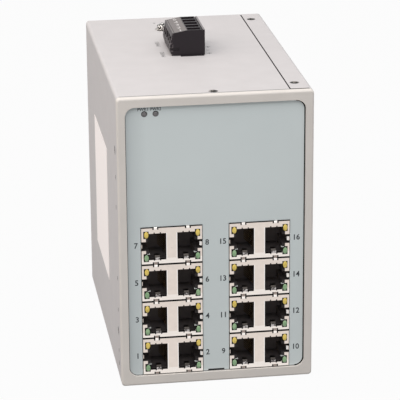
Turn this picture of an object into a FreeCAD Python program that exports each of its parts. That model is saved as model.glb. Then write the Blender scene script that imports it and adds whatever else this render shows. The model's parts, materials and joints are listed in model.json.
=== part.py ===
import FreeCAD, Part
import math
import os
from FreeCAD import Vector

# Sixteen-port Ethernet switch in a folded steel case for a 35 mm rail. Millimetres.
# X runs to the right, Y from the front face to the back, Z up.
# The origin is the centre of the case's bottom face.

# ---- Case sheets ----
case_width = 87.0
case_depth = 139.0
case_height = 135.0
sheet = 1.2  # wall of the painted steel sheets
bend_inside = 0.4  # inside radius of every fold
cover_strip = 9.9  # width of the strips folded from the side cover
seam_gap = 0.35  # open seam between the two case sheets
lap_clearance = 0.1  # between a cover strip and the joggled lap under it
lap_length = 7.0  # how far the lap runs under the strip

# ---- Bezel, front panel and overlay ----
bezel_depth = 2.8
bezel_face = 1.5  # thickness of the bezel's front
bezel_round = 1.0  # rounding of the front's outer edge
bezel_gap = 0.3  # seam between the bezel and the case sheets
window_side = 3.6  # bezel border left and right of its window
window_bottom = 4.5
window_top = 4.3
window_radius = 3.0
tab_width = 12.0  # bezel tabs behind the case sheets
tab_clearance = 0.1
tab_past_screw = 4.0
panel_thickness = 1.2
panel_clearance = 0.3  # between the panel's edge and the bezel tabs
overlay_thickness = 0.25
overlay_gap = 0.35  # between the overlay's edge and the window
overlay_gap_right = 0.6
pull_notch_width = 7.4  # notch in the overlay's lower edge
pull_notch_height = 0.7

# ---- Side label ----
label_thickness = 0.15
label_depth = 55.5
label_height = 64.0
label_from_front = 46.5
label_from_bottom = 34.0

# ---- Screws ----
flat_head_radius = 2.15
screw_radius = 1.25
screw_clearance = 0.05
bezel_screw_x = -0.3  # top and bottom bezel screws
bezel_screw_from_front = 5.7
side_screw_from_front = 10.6
side_screw_from_bottom = 23.0
side_screw_from_top = 26.3
cover_screw_from_front = 13.2
cover_screw_from_back = 10.4
cover_screw_inset = 6.4  # from the cover's outer side

# ---- Port blocks, two ports side by side in each ----
column_count = 2
row_count = 4
first_column = 10.0  # from the case's left side to the first block
last_column = 10.5  # from the last block to the case's right side
first_row = 5.0  # from the case's bottom to the lowest block
row_pitch = 17.6
jack_gap = 0.5  # between a block and the next one up
jack_width = 27.1
jack_depth = 25.0
jack_proud = 0.35  # the shield's face stands this far out of the overlay
jack_clearance = 0.3  # around a column in the panel and the overlay
shield_wall = 0.25
port_half = 5.85  # half of a socket's width, up and down
port_near = 3.0  # from the block's side to the socket's edge in the shield
port_far = 11.1
cavity_wall = 0.3  # of the housing, between a lens pocket and the socket
cavity_depth = 14.0
cavity_lip = 0.1  # the housing shows this much past the shield's inner edge of the socket
latch_half = 2.1
tooth_inner = 2.0  # the shield's teeth beside the latch end here
ground_tab_centre = 7.1
ground_tab_width = 2.2
ground_tab_depth = 3.7
ground_tab_flat = 0.8  # the tab runs this far in before it turns up
ground_tab_run = 0.5  # and takes this depth to rise
ground_tab_rise = 1.0
tab_slot = 0.45  # slots beside the tab
tab_slot_depth = 0.4
finger_centre = 6.3  # from the block's side to a spring finger's middle
finger_width = 1.5
finger_slot = 0.6
finger_slot_drop = 0.95  # the slots reach this far on to the face
finger_depth = 6.0
finger_crown = 1.6  # depth at which a finger stands out furthest
finger_rise = 0.23
side_finger_half = 0.9

# ---- Port lenses and contacts ----
lens_near = 0.85  # lens window: from the block's side
lens_low = 3.6  # and from the block's middle height
lens_high = 6.9
lens_clearance = 0.05
lens_set_back = 0.1
lens_length = 7.0
contact_count = 8
contact_pitch = 1.02
contact_width = 0.5
contact_start = 3.0  # depth behind the block's face where a contact leaves the wall
contact_foot = 1.2
contact_rise = 2.4

# ---- Power lamps ----
lamp_radius = 1.27
lamp_from_left = 12.2
lamp_pitch = 5.0
lamp_from_top = 7.7
lamp_length = 6.0
lamp_proud = 0.4
lamp_clearance = 0.08
lamp_holder_height = 4.4
lamp_holder_depth = 9.0

# ---- Screw terminal ----
pole_count = 5
pole_pitch = 5.08
plug_end_wall = 0.1  # plug body past the outermost poles, each end
plug_width = 16.3
plug_height = 12.0  # above the case's top
plug_slope_drop = 1.3  # the marking slope falls by this
plug_slope_corner = 8.0  # from the plug's right side to the slope
plug_shoulder = 6.6  # height of the bevel below the slope's outer edge
plug_bevel = 1.1
plug_undercut = 0.8  # the screw side's foot goes in by this
plug_undercut_height = 3.0
plug_seat = 0.2  # the header's rim stands this far out of the case's top
plug_overhang = 0.7  # past the header, over the port board
plug_centre_from_front = 79.0
entry_length = 6.1
entry_width = 3.9
entry_depth = 2.6
entry_inset = 1.8  # from the plug's right side
ridge_groove = 0.5  # groove beside the ridge along the plug's right side
ridge_width = 0.9
clamp_wall = 0.6
clamp_height = 4.6
screw_window = 3.3  # square window over each clamp screw, in the plug's left side
screw_window_height = 7.2  # its middle, above the case's top
pole_groove = 0.8  # grooves between poles on the screw side
end_notch_length = 4.4  # notch in the foot of each end wall, from the screw side
end_notch_height = 1.3
end_notch_depth = 0.4
end_notch_rise = 2.3  # its lower edge, above the plug's floor
marker_thickness = 0.3
marker_margin = 0.3
header_wall = 1.2
header_floor = 2.6
header_height = 11.4
header_width = 10.4
header_clearance = 0.3  # header in the case's cut-out
insert_clearance = 0.1  # plug in header
insert_depth = 8.2
pin_size = 1.0
pin_clearance = 0.15
pin_drop = 1.0  # the pins end this far below the header's rim

# ---- Ground screw ----
ground_inset = 3.0  # from the plug's left side
ground_from_back = 23.2
ground_radius = 2.0
ground_head_radius = 2.75
ground_head_height = 2.0
ground_washer_radius = 3.4
ground_washer_thickness = 0.6
ground_teeth = 8
ground_notch = 0.7  # width of the gaps between the teeth
ground_nut_flats = 7.0
ground_nut_height = 3.0
ground_length = 5.0  # shank below the case's top

# ---- Boards and what stands on them ----
board_thickness = 1.6
board_from_front = 4.2
board_from_back = 15.0
board_from_bottom = 5.0
board_from_top = 4.0
spacer_flats = 5.5
nut_height = 2.4
spacer_from_front = 50.0
spacer_from_back = 23.0
spacer_from_bottom = 10.0
spacer_from_top = 13.0
chip_size = 20.0
chip_height = 1.8
chip_from_front = 66.0
chip_from_bottom = 40.0
sink_base = 2.0
sink_fin_height = 8.0
sink_fin_width = 1.2
sink_fin_pitch = 3.4
sink_fins = 7
transformer_depth = 12.0
transformer_width = 14.0
transformer_height = 6.0
transformer_gap = 4.0  # behind the port blocks
link_depth_from_front = 100.0
link_height = 40.0
link_from_bottom = 38.0
link_socket_height = 6.0
link_socket_width = 5.0
link_socket_end = 1.0  # past each end of the card
capacitor_size = 10.0
capacitor_height = 16.0
capacitor_pitch = 14.0
capacitor_count = 2
capacitor_from_front = 38.0
power_from_top = 27.0  # middle of the power parts
inductor_size = 12.0
inductor_height = 7.0
inductor_pitch = 16.0
inductor_count = 2
relay_depth = 20.0
relay_width = 10.0
relay_height = 11.0
relay_from_front = 92.0
converter_depth = 32.0
converter_width = 20.0
converter_height = 10.0
converter_from_front = 44.0
converter_drop = 24.0  # below the power parts' middle

# ---- Rail clip ----
rail_width = 35.0
rail_height = 70.0  # middle of the rail, from the case's bottom
clip_width = 50.0
clip_thickness = 3.0
clip_slot = 1.6
clip_hook = 2.0
clip_end = 2.5  # wall above the upper slot and below the lower one
clip_rail_clearance = 0.1
clip_lead = 0.8  # lead-in chamfer on the hooks
clip_lower_lap = 1.3
clip_upper_lap = 1.6
spring_room = 3.4  # above the rail for the bow spring
spring_thickness = 0.8
spring_side_clearance = 0.1
spring_span = 40.0
clip_screw_across = 30.0
clip_screw_flats = 7.0
clip_screw_head = 2.8

past = 1.0  # how far cutters run past the faces that they open

# ---- Places worked out from the sizes ----
left = -case_width / 2
right = case_width / 2
front = -case_depth / 2
back = case_depth / 2
bend_outside = bend_inside + sheet
sheets_front = front + bezel_depth + bezel_gap
strip_edge = right - cover_strip
chassis_edge = strip_edge - seam_gap
panel_front = front + bezel_face
overlay_front = panel_front - overlay_thickness
jack_front = overlay_front - jack_proud
jack_height = row_pitch - jack_gap
column_travel = case_width - first_column - last_column - jack_width
column_lefts = [left + first_column + n * column_travel / (column_count - 1) for n in range(column_count)]
row_middles = [first_row + jack_height / 2 + n * row_pitch for n in range(row_count)]
board_rights = column_lefts
side_screw_heights = (side_screw_from_bottom, case_height - side_screw_from_top)
lamp_height = case_height - lamp_from_top
power_height = case_height - power_from_top
header_right = board_rights[1] - board_thickness
header_left = header_right - header_width
plug_right = header_right + plug_overhang
plug_left = plug_right - plug_width
plug_middle = front + plug_centre_from_front
plug_half = pole_count * pole_pitch / 2 + plug_end_wall
pole_middles = [plug_middle + (n - (pole_count - 1) / 2) * pole_pitch for n in range(pole_count)]
plug_floor = case_height + plug_seat
plug_top = case_height + plug_height
header_half = plug_half + header_wall
entry_left = plug_right - entry_inset - entry_length
pin_x = (header_left + header_right) / 2
ground_place = (plug_left + ground_inset, back - ground_from_back)


# ---- Helpers ----
def block(x0, x1, y0, y1, z0, z1):
    """Box between two corners."""
    return Part.makeBox(x1 - x0, y1 - y0, z1 - z0, Vector(x0, y0, z0))


def rod(radius, start, end):
    """Cylinder between two points."""
    axis = Vector(*end) - Vector(*start)
    return Part.makeCylinder(radius, axis.Length, Vector(*start), axis)


def extrude(points, axis, start, end):
    """Closed outline of two-number points, carried along an axis from start to end."""
    places = {
        "x": lambda a, b: Vector(start, a, b),
        "y": lambda a, b: Vector(a, start, b),
        "z": lambda a, b: Vector(a, b, start),
    }
    ways = {"x": Vector(1, 0, 0), "y": Vector(0, 1, 0), "z": Vector(0, 0, 1)}
    corners = [places[axis](a, b) for a, b in points]
    face = Part.Face(Part.makePolygon(corners + corners[:1]))
    return face.extrude(ways[axis] * (end - start))


def joined(shapes):
    """One solid from touching or overlapping shapes."""
    return shapes[0].multiFuse(shapes[1:]).removeSplitter()


def drilled(shape, tools):
    """A shape less all the tools."""
    return shape.cut(Part.makeCompound(tools))


def aim(shape, point, direction):
    """Copy of a shape built about +Z, turned to a direction and moved to a point."""
    copy = shape.copy()
    turn = FreeCAD.Rotation(Vector(0, 0, 1), Vector(*direction))
    copy.Placement = FreeCAD.Placement(Vector(*point), turn)
    return copy


def hexagon(flats):
    """Corners of a hexagon with the given width across flats."""
    a = flats / 2
    b = a * math.tan(math.pi / 6)
    return [(a, b), (0, 2 * b), (-a, b), (-a, -b), (0, -2 * b), (a, -b)]


def near(a, b):
    return abs(a - b) < 1e-6


def edges_along_y(shape):
    def along_y(a, b):
        return near(a.X, b.X) and near(a.Z, b.Z)

    return [e for e in shape.Edges if along_y(*e.Vertexes)]


def rounded(shape, radius, wanted):
    """Fillets every edge whose two ends are both wanted."""
    edges = [e for e in shape.Edges if all(wanted(v.Point) for v in e.Vertexes)]
    return shape.makeFillet(radius, edges)


def rounded_window(x0, x1, y0, y1, z0, z1, radius):
    """Box along Y with its four corners rounded."""
    box = block(x0, x1, y0, y1, z0, z1)
    return box.makeFillet(radius, edges_along_y(box))


def mirrored_port(points):
    """The same outline for the block's other port."""
    return [(jack_width - x, z) for x, z in reversed(points)]


def for_blocks(build):
    """One copy of a shape for each port block, counted up each column in turn."""
    shape = build()
    places = [(x, jack_front, z) for x in column_lefts for z in row_middles]
    return [aim(shape, place, (0, 0, 1)) for place in places]


# ---- Screws ----
def flat_screw(clearance=0.0):
    """Countersunk head as deep as the sheet, its face at z = 0; with a clearance, its seat."""
    narrow, wide = screw_radius + clearance, flat_head_radius + clearance
    return Part.makeCone(narrow, wide, sheet, Vector(0, 0, -sheet))


def cover_screw_places():
    """(point, direction) of the countersunk screws in the side cover's top strip."""
    x = right - cover_screw_inset
    ys = (front + cover_screw_from_front, back - cover_screw_from_back)
    return [((x, y, case_height), (0, 0, 1)) for y in ys]


def bezel_screw_places():
    """(point, direction) of the screws that hold the bezel: one in the top, two in the left side."""
    y = front + side_screw_from_front
    top = ((bezel_screw_x, front + bezel_screw_from_front, case_height), (0, 0, 1))
    return [top] + [((left, y, z), (-1, 0, 0)) for z in side_screw_heights]


def bezel_hook_places():
    """(point, direction) of the bezel's plain tabs, opposite its screwed ones."""
    y = front + side_screw_from_front
    bottom = ((bezel_screw_x, front + bezel_screw_from_front, 0), (0, 0, -1))
    return [bottom] + [((right, y, z), (1, 0, 0)) for z in side_screw_heights]


def clip_screw_places():
    """(x, z) of the screws that hold the rail clip to the back."""
    return [(x, rail_height) for x in (-clip_screw_across / 2, clip_screw_across / 2)]


def din_screws():
    """Hexagon heads of the screws that clamp the rail clip to the case's back."""
    y = back + clip_thickness
    made = []
    for x, z in clip_screw_places():
        corners = [(x + a, z + b) for a, b in hexagon(clip_screw_flats)]
        made.append(extrude(corners, "y", y, y + clip_screw_head))
    return Part.makeCompound(made)


def screws(places):
    return Part.makeCompound([aim(flat_screw(), point, way) for point, way in places])


def seats(places):
    return [aim(flat_screw(screw_clearance), point, way) for point, way in places]


# ---- Case sheets ----
def folds_rounded(box, wall, radius):
    """A box with the edges of its side wall rounded, all but the front one."""
    open_end = box.BoundBox.YMin
    on_wall = [e for e in box.Edges if all(near(v.X, wall) for v in e.Vertexes)]
    edges = [e for e in on_wall if not all(near(v.Y, open_end) for v in e.Vertexes)]
    return box.makeFillet(radius, edges)


def folded_tray(x0, x1, closed):
    """Sheet tray with a side wall at x = closed, open at the front and on the other side."""
    wall_left = near(closed, x0)
    inner0, inner1 = (x0 + sheet, x1 + sheet) if wall_left else (x0 - sheet, x1 - sheet)
    outer = block(x0, x1, sheets_front, back, 0, case_height)
    inner = block(inner0, inner1, sheets_front - sheet, back - sheet, sheet, case_height - sheet)
    outer = folds_rounded(outer, closed, bend_outside)
    return outer.cut(folds_rounded(inner, inner0 if wall_left else inner1, bend_inside))


def lap_profile(face, way):
    """Joggled lap beside the seam, as (x, height) points; `way` points into the case."""
    end = strip_edge + lap_length
    step = sheet + lap_clearance
    root = chassis_edge - 2 * sheet
    return [
        (root, face),
        (chassis_edge, face),
        (strip_edge, face + way * step),
        (end, face + way * step),
        (end, face + way * (step + sheet)),
        (strip_edge - sheet, face + way * (step + sheet)),
        (chassis_edge - sheet, face + way * sheet),
        (root, face + way * sheet),
    ]


def terminal_cutout():
    c = header_clearance
    return block(
        header_left - c, header_right + c, plug_middle - header_half - c, plug_middle + header_half + c,
        case_height - sheet - past, case_height + past,
    )


def ground_hole(z0, z1):
    """Cutter for the ground screw's hole through whatever lies between two heights."""
    x, y = ground_place
    return rod(ground_radius + screw_clearance, (x, y, z0 - past), (x, y, z1 + past))


def chassis_shell():
    """Left side, top, bottom and back folded from one sheet, with laps for the cover."""
    tray = folded_tray(left, chassis_edge, left)
    lap_back = back - sheet - lap_clearance
    laps = [
        extrude(lap_profile(case_height, -1), "y", sheets_front, lap_back),
        extrude(lap_profile(0, 1), "y", sheets_front, lap_back),
    ]
    inset = 2 * sheet + 2 * lap_clearance
    laps.append(extrude(lap_profile(back, -1), "z", inset, case_height - inset))
    body = joined([tray] + laps)
    holes = seats(bezel_screw_places()) + [ground_hole(case_height - sheet, case_height)]
    return drilled(body, holes + [terminal_cutout()])


def side_cover():
    """Right side with narrow top, bottom and back strips folded from one sheet."""
    tray = folded_tray(strip_edge, right, right)
    return drilled(tray, seats(cover_screw_places()))


# ---- Front ----
def bezel_tab(place):
    """Tab behind the case sheet at one screw or hook place."""
    (x, y, z), (dx, _, dz) = place
    outer = sheet + tab_clearance
    inner = outer + sheet
    end = y + tab_past_screw
    half = tab_width / 2
    if dz:
        z0, z1 = sorted((z - dz * outer, z - dz * inner))
        return block(x - half, x + half, panel_front, end, z0, z1)
    x0, x1 = sorted((x - dx * outer, x - dx * inner))
    return block(x0, x1, panel_front, end, z - half, z + half)


def front_bezel():
    """Frame with a rounded front and window, three screwed tabs and three plain ones."""
    body = block(left, right, front, front + bezel_depth, 0, case_height)
    body = body.makeFillet(bend_outside, edges_along_y(body))
    body = rounded(body, bezel_round, lambda p: near(p.y, front))
    rim = sheet + tab_clearance
    end = front + bezel_depth + past
    hollow = block(left + rim, right - rim, panel_front, end, rim, case_height - rim)
    window = rounded_window(
        left + window_side, right - window_side, front - past, end,
        window_bottom, case_height - window_top, window_radius,
    )
    tabs = [bezel_tab(p) for p in bezel_screw_places() + bezel_hook_places()]
    return joined([drilled(body, [hollow, window])] + tabs)


def column_openings(clearance, y0, y1, z0):
    """Cutters for the two columns of port blocks."""
    top = row_middles[-1] + jack_height / 2 + clearance
    return [block(x - clearance, x + jack_width + clearance, y0, y1, z0, top) for x in column_lefts]


def lamp_places():
    return [(left + lamp_from_left + n * lamp_pitch, lamp_height) for n in range(2)]


def lamp_holes(y0, y1):
    return [rod(lamp_radius + lamp_clearance, (x, y0, z), (x, y1, z)) for x, z in lamp_places()]


def front_panel():
    """Flat plate behind the bezel, cut for the port columns and the lamps."""
    edge = 2 * sheet + tab_clearance + panel_clearance
    y0, y1 = panel_front, panel_front + panel_thickness
    plate = block(left + edge, right - edge, y0, y1, edge, case_height - edge)
    cuts = column_openings(jack_clearance, y0 - past, y1 + past, first_row - jack_clearance)
    reach = lamp_radius + jack_clearance
    (x0, z), (x1, _) = lamp_places()
    cuts.append(block(x0 - reach, x1 + reach, y0 - past, y1 + past, z - reach, z + reach))
    return drilled(plate, cuts)


def front_overlay():
    """Printed film on the panel, inside the bezel's window."""
    x0, x1 = left + window_side + overlay_gap, right - window_side - overlay_gap_right
    z0, z1 = window_bottom + overlay_gap, case_height - window_top - overlay_gap
    y0, y1 = overlay_front - past, panel_front + past
    film = rounded_window(x0, x1, overlay_front, panel_front, z0, z1, window_radius - overlay_gap)
    middle = (column_lefts[0] + jack_width + column_lefts[1]) / 2
    half = pull_notch_width / 2
    notch = block(middle - half, middle + half, y0, y1, z0 - past, z0 + pull_notch_height)
    cuts = column_openings(jack_clearance, y0, y1, z0 - past)
    return drilled(film, cuts + [notch] + lamp_holes(y0, y1))


def side_label():
    y0, z0 = front + label_from_front, label_from_bottom
    return block(left - label_thickness, left, y0, y0 + label_depth, z0, z0 + label_height)


# ---- Port blocks; built with the block's left side at x = 0, face at y = 0, middle at z = 0 ----
def port_outline():
    """Socket opening in the shield with its lens windows, teeth, latch notch and tab slots."""
    upper = [
        (port_far, port_half),
        (port_near, port_half),
        (port_near, lens_high),
        (lens_near, lens_high),
        (lens_near, lens_low),
        (tooth_inner, lens_low),
        (tooth_inner, latch_half),
        (shield_wall, latch_half),
    ]
    lower = [(x, -z) for x, z in reversed(upper)]
    slots = []
    half = ground_tab_width / 2
    for x0 in (ground_tab_centre - half - tab_slot, ground_tab_centre + half):
        x1, low = x0 + tab_slot, -port_half - tab_slot_depth
        slots += [(x0, -port_half), (x0, low), (x1, low), (x1, -port_half)]
    return upper + lower[:-1] + slots + lower[-1:]


def ground_tab(x):
    """Leaf spring from the opening's lower edge: runs in, turns up and ends level."""
    low = -port_half
    turn0, turn1 = ground_tab_flat, ground_tab_flat + ground_tab_run
    top = low + ground_tab_rise
    profile = [
        (0, low), (0, low + shield_wall), (turn0, low + shield_wall), (turn1, top),
        (ground_tab_depth, top), (ground_tab_depth, top - shield_wall),
        (turn1 + shield_wall / 2, top - shield_wall), (turn0 + shield_wall / 2, low),
    ]
    return extrude(profile, "x", x - ground_tab_width / 2, x + ground_tab_width / 2)


def finger_pad(x, side):
    """Outward bulge of one spring finger, on the top (side 1) or the bottom (side -1)."""
    face = side * jack_height / 2
    crown = face + side * finger_rise
    root = face - side * shield_wall
    profile = [
        (shield_wall, root), (shield_wall, face), (finger_crown, crown),
        (finger_depth - shield_wall, face), (finger_depth - shield_wall, root),
    ]
    return extrude(profile, "x", x - finger_width / 2, x + finger_width / 2)


def jack_shield():
    """Plated sheet box, open at the back, with two socket openings and spring fingers."""
    half = jack_height / 2
    body = block(0, jack_width, 0, jack_depth, -half, half).cut(
        block(
            shield_wall, jack_width - shield_wall, shield_wall, jack_depth + past,
            shield_wall - half, half - shield_wall,
        )
    )
    cuts = [
        extrude(points, "y", -shield_wall, 2 * shield_wall)
        for points in (port_outline(), mirrored_port(port_outline()))
    ]
    centres = (finger_centre, jack_width - finger_centre)
    for x in centres:
        for edge in (x - finger_width / 2 - finger_slot, x + finger_width / 2):
            for side in (-1, 1):
                z0, z1 = sorted((side * (half - finger_slot_drop), side * (half + past)))
                cuts.append(block(edge, edge + finger_slot, -past, finger_depth, z0, z1))
    for x0, x1 in ((-past, shield_wall), (jack_width - shield_wall, jack_width + past)):
        for z0, z1 in ((side_finger_half, latch_half), (-latch_half, -side_finger_half)):
            cuts.append(block(x0, x1, -past, finger_depth, z0, z1))
    body = drilled(body, cuts)
    tabs = [ground_tab(x) for x in (ground_tab_centre, jack_width - ground_tab_centre)]
    pads = [finger_pad(x, side) for x in centres for side in (-1, 1)]
    return joined([body] + tabs + pads)


def port_boxes(x0, x1, y0, y1, z0, z1):
    """A box for each of a block's two ports, the second one mirrored."""
    return [block(x0, x1, y0, y1, z0, z1), block(jack_width - x1, jack_width - x0, y0, y1, z0, z1)]


def jack_housing():
    """Black moulding that fills the shield, its latch channels open to the shield's sides."""
    half = jack_height / 2 - shield_wall
    body = block(shield_wall, jack_width - shield_wall, shield_wall, jack_depth, -half, half)
    far = port_far - cavity_lip
    near_side = port_near + cavity_wall
    cuts = port_boxes(near_side, far, 0, cavity_depth, -port_half, port_half)
    cuts += port_boxes(0, near_side, 0, cavity_depth, -latch_half, latch_half)
    pocket = lens_set_back + lens_length
    for z0, z1 in ((lens_low, lens_high), (-lens_high, -lens_low)):
        cuts += port_boxes(lens_near, port_near, 0, pocket, z0, z1)
    return drilled(body, cuts)


def port_lenses(side):
    """The two lenses of one colour: side 1 is above the block's middle, -1 below it."""
    z0, z1 = sorted((side * (lens_low + lens_clearance), side * (lens_high - lens_clearance)))
    x0, x1 = lens_near + lens_clearance, port_near - lens_clearance
    return Part.makeCompound(port_boxes(x0, x1, lens_set_back, lens_set_back + lens_length, z0, z1))


def port_contacts():
    """The contact springs of one block, each slanting out of its socket's inner wall."""
    wall = port_far - cavity_lip
    tip = wall - contact_rise
    profile = [(wall, contact_start), (wall, contact_start + contact_foot), (tip, cavity_depth)]
    springs = []
    for n in range(contact_count):
        z = (n - (contact_count - 1) / 2) * contact_pitch - contact_width / 2
        for points in (profile, [(jack_width - x, y) for x, y in reversed(profile)]):
            springs.append(extrude(points, "z", z, z + contact_width))
    return Part.makeCompound(springs)


# ---- Power lamps ----
def power_lamps():
    """Two round lens rods."""
    y0 = overlay_front - lamp_proud
    y1 = y0 + lamp_length
    return Part.makeCompound([rod(lamp_radius, (x, y0, z), (x, y1, z)) for x, z in lamp_places()])


def lamp_holder():
    """Black block on the main board that carries both lamps."""
    y0 = overlay_front - lamp_proud + lamp_length
    x0 = board_rights[0]
    x1 = lamp_places()[-1][0] + lamp_holder_height / 2
    z0 = lamp_height - lamp_holder_height / 2
    return block(x0, x1, y0, y0 + lamp_holder_depth, z0, z0 + lamp_holder_height)


# ---- Screw terminal ----
def terminal_header():
    """Right-angle header on the port board: an open-topped box with a floor."""
    y0, y1 = plug_middle - header_half, plug_middle + header_half
    z0 = plug_floor - header_height
    body = block(header_left, header_right, y0, y1, z0, plug_floor)
    pocket = block(
        header_left + header_wall, header_right - header_wall, y0 + header_wall - insert_clearance,
        y1 - header_wall + insert_clearance, z0 + header_floor, plug_floor + past,
    )
    half = pin_size / 2
    x0, x1 = pin_x - half, pin_x + half
    holes = [block(x0, x1, y - half, y + half, z0 - past, plug_floor) for y in pole_middles]
    return drilled(body, [pocket] + holes)


def header_pins():
    """Square pins up through the header's floor, their tails bent into the port board."""
    half = pin_size / 2
    low = plug_floor - header_height
    tail = header_right + board_thickness + pin_size
    profile = [
        (pin_x - half, plug_floor - pin_drop), (pin_x - half, low - pin_size), (tail, low - pin_size),
        (tail, low), (pin_x + half, low), (pin_x + half, plug_floor - pin_drop),
    ]
    return Part.makeCompound([extrude(profile, "y", y - half, y + half) for y in pole_middles])


def plug_outline():
    """Section of the plug above the case: flat right half, marking slope, bevel, undercut foot."""
    slope_low = plug_top - plug_slope_drop
    return [
        (plug_right, plug_floor),
        (plug_right, plug_top),
        (plug_right - plug_slope_corner, plug_top),
        (plug_left + plug_bevel, slope_low),
        (plug_left, slope_low - plug_shoulder),
        (plug_left, plug_floor + plug_undercut_height),
        (plug_left + plug_undercut, plug_floor),
    ]


def terminal_plug():
    """Five-way plug with wire entries on top, screw windows in its side and a keyed insert."""
    y0, y1 = plug_middle - plug_half, plug_middle + plug_half
    body = extrude(plug_outline(), "y", y0, y1)
    c = insert_clearance
    insert_floor = plug_floor - insert_depth
    insert = block(
        header_left + header_wall + c, header_right - header_wall - c, y0 + c, y1 - c,
        insert_floor, plug_floor,
    )
    body = joined([body, insert])
    ridge = plug_right - ridge_width
    groove_floor = plug_top - ridge_groove
    cuts = [
        terminal_marker(),
        block(ridge - ridge_groove, ridge, y0 - past, y1 + past, groove_floor, plug_top + past),
    ]
    clamp_floor = plug_top - entry_depth - clamp_height
    socket = pin_size / 2 + pin_clearance
    entry = entry_width / 2
    window = screw_window / 2
    z = case_height + screw_window_height
    for y in pole_middles:
        cuts += [
            block(entry_left, entry_left + entry_length, y - entry, y + entry, clamp_floor, plug_top + past),
            block(plug_left - past, entry_left, y - window, y + window, z - window, z + window),
            block(pin_x - socket, pin_x + socket, y - socket, y + socket, insert_floor - past, clamp_floor),
        ]
    half = pole_groove / 2
    for a, b in zip(pole_middles, pole_middles[1:]):
        y = (a + b) / 2
        x = plug_left + pole_groove
        cuts.append(block(plug_left - past, x, y - half, y + half, plug_floor, plug_top))
    x = plug_left + end_notch_length
    z = plug_floor + end_notch_rise
    for a, b in ((y0 - past, y0 + end_notch_depth), (y1 - end_notch_depth, y1 + past)):
        cuts.append(block(plug_left - past, x, a, b, z, z + end_notch_height))
    return drilled(body, cuts)


def terminal_marker():
    """Marking strip let into the plug's slope."""
    slope_left, slope_right = plug_left + plug_bevel, plug_right - plug_slope_corner
    tilt = plug_slope_drop / (slope_right - slope_left)
    x0, x1 = slope_left + marker_margin, slope_right - marker_margin
    top = [(x, plug_top - (slope_right - x) * tilt) for x in (x0, x1)]
    bottom = [(x, z - marker_thickness) for x, z in reversed(top)]
    half = plug_half - marker_margin
    return extrude(top + bottom, "y", plug_middle - half, plug_middle + half)


def terminal_clamps():
    """Wire cages at the bottom of the entries: square tubes open at the top."""
    half = entry_width / 2
    z1 = plug_top - entry_depth
    z0 = z1 - clamp_height
    cages = []
    for y in pole_middles:
        cage = block(entry_left, entry_left + entry_length, y - half, y + half, z0, z1)
        inside = block(
            entry_left + clamp_wall, entry_left + entry_length - clamp_wall,
            y - half + clamp_wall, y + half - clamp_wall, z0 + clamp_wall, z1 + past,
        )
        cages.append(cage.cut(inside))
    return Part.makeCompound(cages)


# ---- Ground screw ----
def ground_screw():
    """Round-headed screw that clamps the ground wire's lug."""
    x, y = ground_place
    seat = case_height + ground_washer_thickness
    head = rod(ground_head_radius, (x, y, seat), (x, y, seat + ground_head_height))
    shank_end = seat + ground_head_height / 2
    return joined([head, rod(ground_radius, (x, y, case_height - ground_length), (x, y, shank_end))])


def ground_washer():
    """Toothed lock washer under the ground screw's head."""
    x, y = ground_place
    z0, z1 = case_height, case_height + ground_washer_thickness
    half = ground_notch / 2
    reach = ground_washer_radius + past
    notch = block(x + ground_head_radius, x + reach, y - half, y + half, z0 - past, z1 + past)
    notches = []
    for n in range(ground_teeth):
        cut = notch.copy()
        cut.rotate(Vector(x, y, 0), Vector(0, 0, 1), n * 360 / ground_teeth)
        notches.append(cut)
    disc = rod(ground_washer_radius, (x, y, z0), (x, y, z1))
    return drilled(disc, [ground_hole(z0, z1)] + notches)


def ground_nut():
    """Hexagon nut clinched under the case's top."""
    x, y = ground_place
    z1 = case_height - sheet
    z0 = z1 - ground_nut_height
    nut = extrude([(x + a, y + b) for a, b in hexagon(ground_nut_flats)], "z", z0, z1)
    return nut.cut(ground_hole(z0, z1))


# ---- Boards ----
def spacer_points():
    """(y, z) of the four posts that hold the boards."""
    ys = (front + spacer_from_front, back - spacer_from_back)
    zs = (spacer_from_bottom, case_height - spacer_from_top)
    return [(y, z) for y in ys for z in zs]


def board(n):
    """Circuit board n, upright behind the left edge of its port column."""
    x1 = board_rights[n]
    x0 = x1 - board_thickness
    y0, y1 = front + board_from_front, back - board_from_back
    plate = block(x0, x1, y0, y1, board_from_bottom, case_height - board_from_top)
    if n == 0:
        return plate
    half = pin_size / 2 + pin_clearance
    low = plug_floor - header_height
    z0, z1 = low - pin_size - pin_clearance, low + pin_clearance
    holes = [block(x0 - past, x1 + past, y - half, y + half, z0, z1) for y in pole_middles]
    return drilled(plate, holes)


def hex_posts(x0, x1):
    """A hexagonal post along X at each spacer place."""
    posts = []
    for y, z in spacer_points():
        posts.append(extrude([(y + a, z + b) for a, b in hexagon(spacer_flats)], "x", x0, x1))
    return Part.makeCompound(posts)


def wall_standoffs():
    """Posts clinched to the case's left side, under the main board."""
    return hex_posts(left + sheet, board_rights[0] - board_thickness)


def board_spacers():
    """Long posts between the two boards."""
    return hex_posts(board_rights[0], board_rights[1] - board_thickness)


def board_nuts():
    """Nuts that close the stack on the port board."""
    return hex_posts(board_rights[1], board_rights[1] + nut_height)


def on_board(n, from_front, depth, z, width, height):
    """Box standing on a board's right face, about a point given from the case's front and bottom."""
    x, y = board_rights[n], front + from_front
    return block(x, x + height, y - depth / 2, y + depth / 2, z - width / 2, z + width / 2)


def in_row(count, start, pitch, size, height):
    """Square power parts in a row on the main board, the first one's middle at start."""
    middles = [start + n * pitch for n in range(count)]
    return Part.makeCompound([on_board(0, y, size, power_height, size, height) for y in middles])


def switch_chips():
    """One switch chip on each board."""
    y, z, size = chip_from_front, chip_from_bottom, chip_size
    return Part.makeCompound([on_board(n, y, size, z, size, chip_height) for n in range(2)])


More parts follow.
